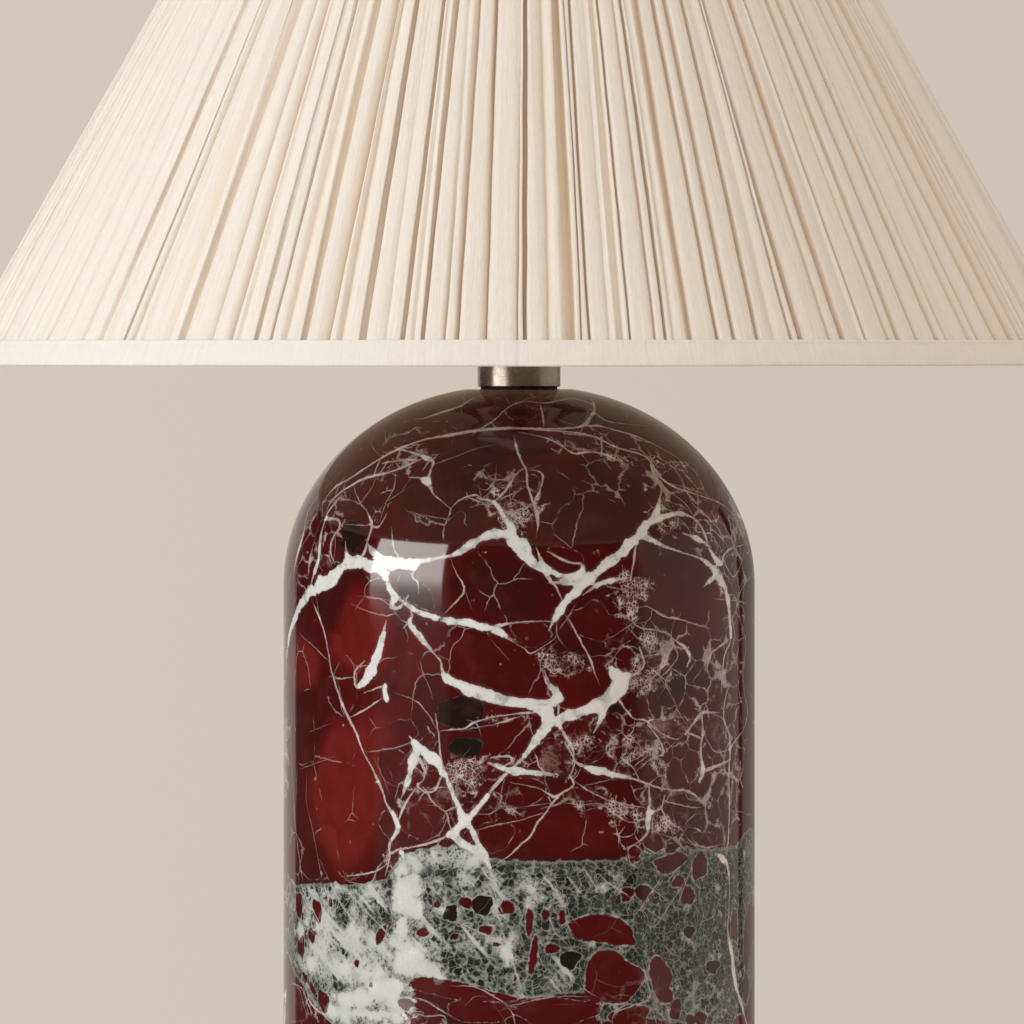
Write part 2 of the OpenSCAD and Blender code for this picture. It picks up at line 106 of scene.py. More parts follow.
class Tree:
    """Small helper for writing node trees."""

    def __init__(self, nt):
        self.nt = nt
        nt.nodes.clear()

    def add(self, kind, props=None, **ins):
        n = self.nt.nodes.new(kind)
        for k, v in (props or {}).items():
            setattr(n, k, v)
        for k, v in ins.items():
            key = int(k[1:]) if k[0] == "i" and k[1:].isdigit() else k.replace("_", " ")
            self.put(n.inputs[key], v)
        return n

    def put(self, socket, v):
        if isinstance(v, bpy.types.NodeSocket):
            self.nt.links.new(v, socket)
        elif v is not None:
            if hasattr(socket.default_value, "__len__") and not hasattr(v, "__len__"):
                v = [v] * len(socket.default_value)
            if hasattr(socket.default_value, "__len__"):
                v = list(v)[: len(socket.default_value)]
            socket.default_value = v

    def math(self, op, a, b=0.0, c=0.0, clamp=False):
        n = self.nt.nodes.new("ShaderNodeMath")
        n.operation, n.use_clamp = op, clamp
        self.put(n.inputs[0], a)
        self.put(n.inputs[1], b)
        self.put(n.inputs[2], c)
        return n.outputs[0]

    def vmath(self, op, a, b=(0, 0, 0)):
        n = self.nt.nodes.new("ShaderNodeVectorMath")
        n.operation = op
        self.put(n.inputs[0], a)
        self.put(n.inputs[1], b)
        return n.outputs[1] if op in ("LENGTH", "DOT_PRODUCT") else n.outputs[0]

    def step(self, x, lo, hi, a=0.0, b=1.0):
        """Smooth step of x from lo to hi, running from a to b."""
        n = self.nt.nodes.new("ShaderNodeMapRange")
        n.interpolation_type = "SMOOTHSTEP"
        for i, v in enumerate((x, lo, hi, a, b)):
            self.put(n.inputs[i], v)
        return n.outputs[0]

    def lin(self, x, lo, hi, a=0.0, b=1.0):
        n = self.nt.nodes.new("ShaderNodeMapRange")
        for i, v in enumerate((x, lo, hi, a, b)):
            self.put(n.inputs[i], v)
        return n.outputs[0]

    def mix(self, f, a, b, mode="MIX"):
        n = self.nt.nodes.new("ShaderNodeMix")
        n.data_type, n.blend_type = "RGBA", mode
        self.put(n.inputs[0], f)
        self.put(n.inputs[6], a)
        self.put(n.inputs[7], b)
        return n.outputs[2]

    def noise(self, vec, scale, detail=2.0, rough=0.5, dist=0.0, out=0):
        n = self.nt.nodes.new("ShaderNodeTexNoise")
        self.put(n.inputs["Vector"], vec)
        n.inputs["Scale"].default_value = scale
        n.inputs["Detail"].default_value = detail
        n.inputs["Roughness"].default_value = rough
        n.inputs["Distortion"].default_value = dist
        return n.outputs[out]

    def voronoi(self, vec, scale, feature="F1", out="Distance", rand=1.0):
        n = self.nt.nodes.new("ShaderNodeTexVoronoi")
        n.feature = feature
        self.put(n.inputs["Vector"], vec)
        n.inputs["Scale"].default_value = scale
        n.inputs["Randomness"].default_value = rand
        return n.outputs[out]

    def ramp(self, f, stops, interp="LINEAR"):
        n = self.nt.nodes.new("ShaderNodeValToRGB")
        cr = n.color_ramp
        cr.interpolation = interp
        while len(cr.elements) < len(stops):
            cr.elements.new(0.5)
        for e, (p, c) in zip(cr.elements, stops):
            e.position, e.color = p, c
        self.put(n.inputs[0], f)
        return n.outputs[0]

    def attr(self, name, out="Fac"):
        n = self.nt.nodes.new("ShaderNodeAttribute")
        n.attribute_name = name
        return n.outputs[out]

    def bump(self, height, dist, strength=1.0, normal=None):
        n = self.nt.nodes.new("ShaderNodeBump")
        n.inputs["Strength"].default_value = strength
        n.inputs["Distance"].default_value = dist
        self.put(n.inputs["Height"], height)
        if normal is not None:
            self.put(n.inputs["Normal"], normal)
        return n.outputs[0]

    def mm(self):
        """Object coordinates in millimetres."""
        t = self.nt.nodes.new("ShaderNodeTexCoord")
        return self.vmath("MULTIPLY", t.outputs["Object"], (1000, 1000, 1000))

    def shader(self, **ins):
        b = self.add("ShaderNodeBsdfPrincipled", **ins)
        o = self.nt.nodes.new("ShaderNodeOutputMaterial")
        self.nt.links.new(b.outputs[0], o.inputs[0])
        return b


shine.data.use_nodes = True
lt = Tree(shine.data.node_tree)
geo = lt.add("ShaderNodeNewGeometry")
par = lt.add("ShaderNodeSeparateXYZ", i0=geo.outputs["Parametric"])
glow = lt.add("ShaderNodeEmission", Strength=lt.step(par.outputs[1], 0.0, 0.22, 0.25, 1.0))
lo_ = lt.add("ShaderNodeOutputLight")
lt.nt.links.new(glow.outputs[0], lo_.inputs[0])


def material(name):
    m = bpy.data.materials.new("m_" + name)
    m.use_nodes = True
    return m, Tree(m.node_tree)


# the studio: pale walls everywhere, and for reflections a dark side behind the camera
# with a dim pale flat on the right and pale walls behind the lamp
wt = Tree(world.node_tree)
PALE = srgb(209, 197, 185)
tc = wt.add("ShaderNodeTexCoord")
sep = wt.add("ShaderNodeSeparateXYZ", i0=tc.outputs["Generated"])
dx, dy, dz = sep.outputs
az = wt.math("ARCTAN2", dx, wt.math("MULTIPLY", dy, -1.0))      # radians, + to the right of the front
deg = math.radians
right = wt.math("MULTIPLY", wt.step(az, deg(56.0), deg(66.0)), wt.step(az, deg(133.5), deg(136.5), 1.0, 0.0))
right = wt.math("MULTIPLY", right, wt.step(dz, 0.62, 0.75, 1.0, 0.0))
behind = wt.step(wt.math("ABSOLUTE", az), deg(139.0), deg(142.0))
side = wt.step(az, deg(-10.0), deg(10.0), 1.0, 0.45)
lit = wt.math("MAXIMUM", wt.math("MULTIPLY", right, 0.85), wt.math("MULTIPLY", behind, side))
left = wt.math("MULTIPLY", wt.step(az, deg(-78.0), deg(-70.0)), wt.step(az, deg(-36.0), deg(-32.0), 1.0, 0.0))
lit = wt.math("MAXIMUM", lit, wt.math("MULTIPLY", left, wt.step(dz, 0.10, 0.30, 0.42, 0.0)))
ceiling = wt.step(dz, 0.55, 0.95, 0.0, 0.35)
low = wt.step(dz, -0.02, -0.25, 0.0, 0.25)
lit = wt.math("MAXIMUM", lit, wt.math("MAXIMUM", ceiling, low))
lit = wt.lin(lit, 0.0, 1.0, 0.050, 1.0)
lp = wt.add("ShaderNodeLightPath")
level = wt.math("MULTIPLY", wt.lin(lp.outputs["Is Diffuse Ray"], 0.0, 1.0, 1.0, 1.15),
                wt.math("SUBTRACT", 1.0, wt.math("MULTIPLY", dx, wt.lin(lp.outputs["Is Camera Ray"], 0.0, 1.0, 0.0, 0.28))))
level = wt.math("MULTIPLY", level, wt.lin(lp.outputs["Is Glossy Ray"], 0.0, 1.0, 1.0, 0.0))
level = wt.math("ADD", level, wt.math("MULTIPLY", lp.outputs["Is Glossy Ray"], lit))
bg = wt.add("ShaderNodeBackground", Color=PALE, Strength=level)
wo = wt.add("ShaderNodeOutputWorld")
wt.nt.links.new(bg.outputs[0], wo.inputs[0])


# ---------------------------------------------------------------- mesh helpers

def mesh_object(name, verts, faces, mat=None, smooth=True, angle=None):
    me = bpy.data.meshes.new(name)
    me.from_pydata([tuple(v) for v in verts], [], faces)
    me.update()
    if smooth:
        me.polygons.foreach_set("use_smooth", [True] * len(me.polygons))
    if angle is not None:
        me.set_sharp_from_angle(angle=math.radians(angle))
    o = bpy.data.objects.new(name, me)
    scene.collection.objects.link(o)
    if mat:
        me.materials.append(mat)
    return o


def grid_faces(rows, cols, wrap=True):
    r = np.arange(rows - 1)[:, None]
    c = np.arange(cols if wrap else cols - 1)[None, :]
    c2 = (c + 1) % cols
    a = r * cols + c
    b = r * cols + c2
    d = (r + 1) * cols + c
    e = (r + 1) * cols + c2
    return np.stack([a, b, e, d], -1).reshape(-1, 4)


def put_attr(o, name, values, kind="FLOAT"):
    values = np.asarray(values, np.float32)
    at = o.data.attributes.new(name, kind, "POINT")
    at.data.foreach_set("vector" if kind == "FLOAT_VECTOR" else "value", values.ravel())


def lathe(name, profile, cols, mat, closed=False, angle=30.0):
    """Turns (radius, z) points in millimetres round the axis; a radius of 0 closes the end."""
    verts, rings = [], []
    for r, z in profile:
        if r < 1e-6:
            rings.append([len(verts)])
            verts.append((0, 0, z * MM))
        else:
            rings.append(list(range(len(verts), len(verts) + cols)))
            for i in range(cols):
                t = 2 * math.pi * i / cols
                verts.append((r * math.sin(t) * MM, -r * math.cos(t) * MM, z * MM))
    faces = []
    pairs = list(zip(rings, rings[1:])) + ([(rings[-1], rings[0])] if closed else [])
    for a, b in pairs:
        for i in range(cols):
            j = (i + 1) % cols
            if len(a) == 1 and len(b) == 1:
                continue
            if len(a) == 1:
                faces.append((a[0], b[j], b[i]))
            elif len(b) == 1:
                faces.append((a[i], a[j], b[0]))
            else:
                faces.append((a[i], a[j], b[j], b[i]))
    return mesh_object(name, verts, faces, mat, True, angle)


def periodic(seed, n, waves, amp):
    """Seeded smooth function of the angle over n samples: waves are (lowest, highest) counts per turn."""
    rnd = random.Random(seed)
    t = np.arange(n) * 2 * math.pi / n
    y = np.zeros(n)
    for k in range(waves[0], waves[1] + 1):
        y += rnd.uniform(-1, 1) * np.sin(k * t + rnd.uniform(0, 6.283)) / math.sqrt(k / waves[0])
    return y * amp / max(1e-9, np.abs(y).max())


# ---------------------------------------------------------------- materials of the small parts

MATS = {}


def brushed(name, colour, dark, rough, metallic=1.0, lines=6.0, bump=0.004, spread=0.10):
    """Turned and brushed metal: fine lines round the axis, light smudges."""
    m, t = material(name)
    p = t.mm()
    s = t.vmath("MULTIPLY", p, (0.25, 0.25, lines))
    grain = t.noise(s, 1.0, 4.0, 0.65)
    smudge = t.noise(p, 0.11, 3.0, 0.55)
    col = t.mix(t.lin(smudge, 0.3, 0.7), colour, dark)
    col = t.mix(t.lin(grain, 0.3, 0.7, 0.0, 0.35), col, dark)
    r = t.math("ADD", t.lin(grain, 0.25, 0.75, rough - spread, rough + spread), t.lin(smudge, 0.3, 0.7, -0.03, 0.05))
    t.shader(Base_Color=col, Metallic=metallic, Roughness=r, Normal=t.bump(grain, bump * MM * 10))
    MATS[name] = m
    return m


def plain(name, colour, dark, rough, scale=0.6, bump=0.02, metallic=0.0, detail=4.0, coat=0.0, spread=0.08):
    """Moulded or cast stuff: cloudy tone, fine orange-peel or grain."""
    m, t = material(name)
    p = t.mm()
    fine = t.noise(p, scale, detail, 0.6)
    cloud = t.noise(p, scale * 0.12, 3.0, 0.5)
    col = t.mix(t.lin(cloud, 0.3, 0.7), colour, dark)
    col = t.mix(t.lin(fine, 0.35, 0.75, 0.0, 0.4), col, dark)
    t.shader(Base_Color=col, Metallic=metallic, Roughness=t.lin(fine, 0.3, 0.7, rough - spread, rough + spread),
             Coat_Weight=coat, Coat_Roughness=0.12, Normal=t.bump(fine, bump * MM * 10))
    MATS[name] = m
    return m


brushed("nickel", srgb(190, 178, 166), srgb(160, 148, 136), 0.255, lines=9.0, bump=0.0008, spread=0.05)
brushed("steel", srgb(172, 174, 178), srgb(122, 125, 130), 0.38, lines=1.2, bump=0.004)
brushed("brass", srgb(206, 170, 96), srgb(160, 122, 58), 0.30, lines=3.5, bump=0.003)
brushed("bulb_metal", srgb(206, 205, 200), srgb(168, 167, 162), 0.33, lines=3.0, bump=0.003)
brushed("solder", srgb(186, 186, 188), srgb(150, 151, 154), 0.42, lines=0.6, bump=0.010)
plain("rubber", srgb(24, 23, 23), srgb(14, 14, 14), 0.62, 1.6, 0.02)
plain("nylon", srgb(34, 33, 32), srgb(22, 21, 21), 0.45, 1.1, 0.01)
plain("phenolic", srgb(52, 38, 30), srgb(30, 22, 18), 0.38, 0.9, 0.008, coat=0.3)
plain("knob_plastic", srgb(30, 28, 27), srgb(17, 16, 16), 0.22, 0.8, 0.003, coat=0.6, spread=0.05)
plain("vitrite", srgb(26, 20, 17), srgb(12, 10, 9), 0.14, 0.5, 0.003, coat=0.8, spread=0.04)
plain("coated_wire", srgb(236, 231, 221), srgb(216, 209, 197), 0.34, 0.7, 0.008, coat=0.35)


def felt_material():
    m, t = material("felt")
    p = t.mm()
    fibre = t.noise(t.vmath("MULTIPLY", p, (2.6, 2.6, 2.6)), 1.0, 6.0, 0.75, 1.2)
    lint = t.noise(p, 0.6, 3.0, 0.6)
    cloud = t.noise(p, 0.05, 3.0, 0.5)
    col = t.mix(t.lin(cloud, 0.3, 0.7), srgb(34, 30, 29), srgb(24, 21, 20))
    col = t.mix(t.step(fibre, 0.5, 0.78), col, srgb(58, 52, 49))
    col = t.mix(t.step(lint, 0.66, 0.80, 0.0, 0.4), col, srgb(74, 67, 62))
    t.shader(Base_Color=col, Roughness=0.95, Sheen_Weight=0.5, Sheen_Roughness=0.6,
             Normal=t.bump(t.math("ADD", fibre, t.math("MULTIPLY", lint, 0.6)), 0.5 * MM))
    MATS["felt"] = m


def paper_material():
    m, t = material("insulating_paper")
    p = t.mm()
    fibre = t.noise(t.vmath("MULTIPLY", p, (1.5, 1.5, 0.3)), 1.6, 5.0, 0.7)
    cloud = t.noise(p, 0.12, 3.0, 0.5)
    col = t.mix(t.lin(cloud, 0.3, 0.7), srgb(206, 192, 160), srgb(186, 168, 132))
    col = t.mix(t.lin(fibre, 0.4, 0.75, 0.0, 0.5), col, srgb(160, 142, 108))
    t.shader(Base_Color=col, Roughness=0.85, Normal=t.bump(fibre, 0.06 * MM))
    MATS["insulating_paper"] = m


def glass_material():
    """Bulb glass with a white powder coat inside: looks milky, with a glossy skin."""
    m, t = material("frosted_glass")
    p = t.mm()
    powder = t.noise(p, 0.5, 5.0, 0.65)
    cloud = t.noise(p, 0.035, 3.0, 0.5)
    col = t.mix(t.lin(cloud, 0.3, 0.7), srgb(243, 240, 233), srgb(232, 228, 219))
    col = t.mix(t.lin(powder, 0.4, 0.8, 0.0, 0.35), col, srgb(224, 219, 208))
    t.shader(Base_Color=col, Roughness=t.lin(powder, 0.3, 0.7, 0.32, 0.44), Coat_Weight=0.8, Coat_Roughness=0.06,
             Subsurface_Weight=0.15, Subsurface_Radius=(0.004, 0.004, 0.003), Subsurface_Scale=1.0)
    MATS["frosted_glass"] = m


def hardback_material():
    """Stiff shade liner: warm white film with a faint fibre texture."""
    m, t = material("hardback")
    p = t.mm()
    fibre = t.noise(p, 0.8, 6.0, 0.7)
    cloud = t.noise(p, 0.02, 3.0, 0.5)
    col = t.mix(t.lin(cloud, 0.3, 0.7), srgb(243, 237, 225), srgb(235, 226, 209))
    col = t.mix(t.lin(fibre, 0.45, 0.8, 0.0, 0.4), col, srgb(222, 210, 188))
    t.shader(Base_Color=col, Roughness=t.lin(fibre, 0.3, 0.7, 0.42, 0.58), Normal=t.bump(fibre, 0.05 * MM))
    MATS["hardback"] = m


felt_material()
paper_material()
glass_material()
hardback_material()


# ---------------------------------------------------------------- marble

BODY_R, FOOT_Z, CROWN_Z, DOME_H, CROWN_R, SEAT_Z = 83.0, 2.0, 312.0, 69.6, 6.6, 311.1
DOME_Z = CROWN_Z - DOME_H
SPOT_R = CROWN_R + (BODY_R - CROWN_R) * math.sqrt(1 - ((SEAT_Z - DOME_Z) / DOME_H) ** 2)


def body_radius(z):
    if z <= DOME_Z:
        return BODY_R
    k = min(1.0, (z - DOME_Z) / DOME_H)
    return CROWN_R + (BODY_R - CROWN_R) * math.sqrt(max(0.0, 1 - k * k))


def outer_profile():
    """(radius, z) points up the outside of the stone, foot to the edge of the spot face, closer above z 92."""
    low = [(BODY_R, z) for z in np.linspace(FOOT_Z + 1.2, 92.0, 40)]
    pts = [(BODY_R, z) for z in np.linspace(92.0, DOME_Z, 600)]
    pts += [(body_radius(z), z) for z in
            (DOME_Z + DOME_H * math.sin(a) for a in np.linspace(0.001, math.asin((SEAT_Z - DOME_Z) / DOME_H), 600))]
    pts = np.array(pts)
    seg = np.r_[0, np.cumsum(np.hypot(*np.diff(pts, axis=0).T))]
    s = np.linspace(0, seg[-1], int(round(seg[-1] / 1.13)) + 1)[1:]
    return np.vstack([low, np.stack([np.interp(s, seg, pts[:, 0]), np.interp(s, seg, pts[:, 1])], 1)])


FRONT_COLS, BACK_COLS, FRONT_HALF = 204, 120, math.radians(76)
ANG = np.r_[np.linspace(-FRONT_HALF, FRONT_HALF, FRONT_COLS, endpoint=False),
            np.linspace(FRONT_HALF, 2 * math.pi - FRONT_HALF, BACK_COLS, endpoint=False)]
COLS = len(ANG)
PROF = outer_profile()
TOP_ROWS = 8
PROF = np.vstack([PROF, [(r, SEAT_Z) for r in np.linspace(SPOT_R, 5.4, TOP_ROWS + 1)[1:]]])
ROWS = len(PROF)
SIDE = ROWS - TOP_ROWS
GX = PROF[:, 0][:, None] * np.sin(ANG)[None, :]
GY = -PROF[:, 0][:, None] * np.cos(ANG)[None, :]
GZ = np.repeat(PROF[:, 1][:, None], COLS, 1)
GRID = np.stack([GX, GY, GZ], -1)                  # millimetres
row_z = PROF[:SIDE, 1]


def cast(u, v):
    """The point of the stone seen at picture position u, v (1024 px frame), in millimetres."""
    dx, dz = (u - CX) / FPX, -(v - CY) / FPX

    def inside(t):
        x, y, z = dx * t, -2100.0 + t, 326.0 + dz * t
        return z < CROWN_Z and math.hypot(x, y) <= body_radius(z)
    lo = 2100.0 - 84.0
    while not inside(lo) and lo < 2100.0:
        lo += 1.0
    if lo >= 2100.0:
        s = 1 if u > CX else -1
        z = min(CROWN_Z, 326.0 + dz * 2100.0)
        return Vector((s * body_radius(z) * 0.999, -3.0, z))
    a, b = lo - 1.0, lo
    for _ in range(14):
        m = (a + b) / 2
        if inside(m):
            b = m
        else:
            a = m
    return Vector((dx * b, -2100.0 + b, 326.0 + dz * b))


def on_body(angle, z):
    """The point of the stone at an azimuth in degrees (0 in front, + to the right) and a height."""
    a = math.radians(angle)
    r = body_radius(z)
    return Vector((r * math.sin(a), -r * math.cos(a), z))


def smooth_path(pts, step=0.7):
    """Catmull-Rom through (Vector, width) points, resampled every step mm and pressed to the stone."""
    out = []
    n = len(pts)
    for i in range(n - 1):
        p0, p1, p2, p3 = (pts[max(0, i - 1)], pts[i], pts[i + 1], pts[min(n - 1, i + 2)])
        k = max(1, int((p2[0] - p1[0]).length / step))
        for j in range(k):
            t = j / k
            q = 0.5 * (2 * p1[0] + (p2[0] - p0[0]) * t + (2 * p0[0] - 5 * p1[0] + 4 * p2[0] - p3[0]) * t * t
                       + (3 * p1[0] - 3 * p2[0] + p3[0] - p0[0]) * t ** 3)
            z = min(CROWN_Z - 0.01, max(0.0, q.z))
            r = body_radius(z)
            h = math.hypot(q.x, q.y) or 1.0
            out.append((Vector((q.x / h * r, q.y / h * r, z)), p1[1] + (p2[1] - p1[1]) * t))
    out.append((pts[-1][0], pts[-1][1]))
    return out


FAR = 40.0
BLEND = 2.00                                       # 1/mm; how tightly crossing veins melt together
melt = np.zeros((ROWS, COLS))
melt_w = np.zeros((ROWS, COLS))
LAYERS = 5
hair = [dict(u=np.full((ROWS, COLS), FAR), s=np.full((ROWS, COLS), FAR), w=np.zeros((ROWS, COLS))) for _ in range(LAYERS)]


def window(p, reach):
    """Rows and columns of the grid within reach mm of a point on the stone."""
    r = max(6.0, math.hypot(p.x, p.y))
    r0 = int(np.searchsorted(row_z, p.z - reach))
    r1 = int(np.searchsorted(row_z, p.z + reach)) + 1
    if p.z + reach >= SEAT_Z:
        r1 = ROWS
    half = min(math.pi, reach / r * 1.15)
    d = np.abs((ANG - math.atan2(p.x, -p.y) + math.pi) % (2 * math.pi) - math.pi)
    return np.ix_(np.arange(max(0, r0 - 1), min(ROWS, r1 + 1)), np.nonzero(d <= half + 0.02)[0])


def draw_vein(path, bias=0.0, reach=9.0):
    """Adds a broad vein to the melt: its edge distance, joined softly with every other vein."""
    d_line = np.full((ROWS, COLS), FAR)
    w_line = np.zeros((ROWS, COLS))
    if not path:
        return
    for p, w in path:
        ix = window(p, reach + w / 2)
        d = np.sqrt(((GRID[ix] - np.array(p)) ** 2).sum(-1)) - w / 2 + bias
        cur = d_line[ix]
        m = d < cur
        cur[m] = d[m]
        d_line[ix] = cur
        cur = w_line[ix]
        cur[m] = w
        w_line[ix] = cur
    e = np.where(d_line < 8.0, np.exp(-BLEND * d_line), 0.0)
    melt[...] += e
    melt_w[...] += e * w_line


def draw_line(path, reach=4.0):
    """A thin line: the signed distance across it, the distance to it and its width, in the emptiest layer."""
    best, pick = None, 0
    for i, L in enumerate(hair):
        near = 0
        for p, w in path[::6]:
            near += int((L["u"][window(p, 2.6)] < 2.6).sum())
        if best is None or near < best:
            best, pick = near, i
        if near == 0:
            break
    L = hair[pick]
    for k, (p, w) in enumerate(path):
        q = path[min(k + 1, len(path) - 1)][0] - path[max(k - 1, 0)][0]
        if q.length < 1e-6:
            continue
        q.normalize()
        nrm = Vector((p.x, p.y, 0.0)).normalized() if p.z < DOME_Z else Vector((p.x, p.y, (p.z - DOME_Z) * 1.2)).normalized()
        side = np.array(q.cross(nrm))
        ix = window(p, reach)
        block = GRID[ix] - np.array(p)
        d = np.sqrt((block ** 2).sum(-1))
        s = block @ side
        m = d < L["u"][ix]
        for key, val in (("u", d), ("s", s), ("w", np.full(d.shape, w))):
            cur = L[key][ix]
            cur[m] = val[m]
            L[key][ix] = cur


def draw_hair(path):
    """A tapered thin line that flares out where it meets a broad vein."""
    n, k = len(path), 7.0
    path = [(p, w * 0.72 * min(1.0, 0.15 + i / k, 0.15 + (n - 1 - i) / k)) for i, (p, w) in enumerate(path)]
    draw_line(path)
    draw_vein(path[::2], 0.85, 5.0)


def draw_slim(path):
    """The slim stretches of a broad vein, which are drawn as lines too so that they don't break up."""
    run = []
    for p, w in path + [(None, 99.0)]:
        if w < 1.9:
            run.append((p, w * 0.86))
            continue
        if len(run) > 3:
            draw_line(run)
        run = []


PX = 0.3385          # millimetres of stone to a picture pixel at the front


def upper(pts):
    """Tracing sheet of the dome and shoulder to picture pixels."""
    return [(280 + p[0] / 3.2667, 380 + p[1] / 3.2667) + tuple(q / 3.2667 for q in p[2:3]) for p in pts]


def lower(pts):
    """Tracing sheet of the lower half to picture pixels."""
    return [(284 + p[0] / 3.322, 700 + p[1] / 3.322) + tuple(q / 3.322 for q in p[2:3]) for p in pts]


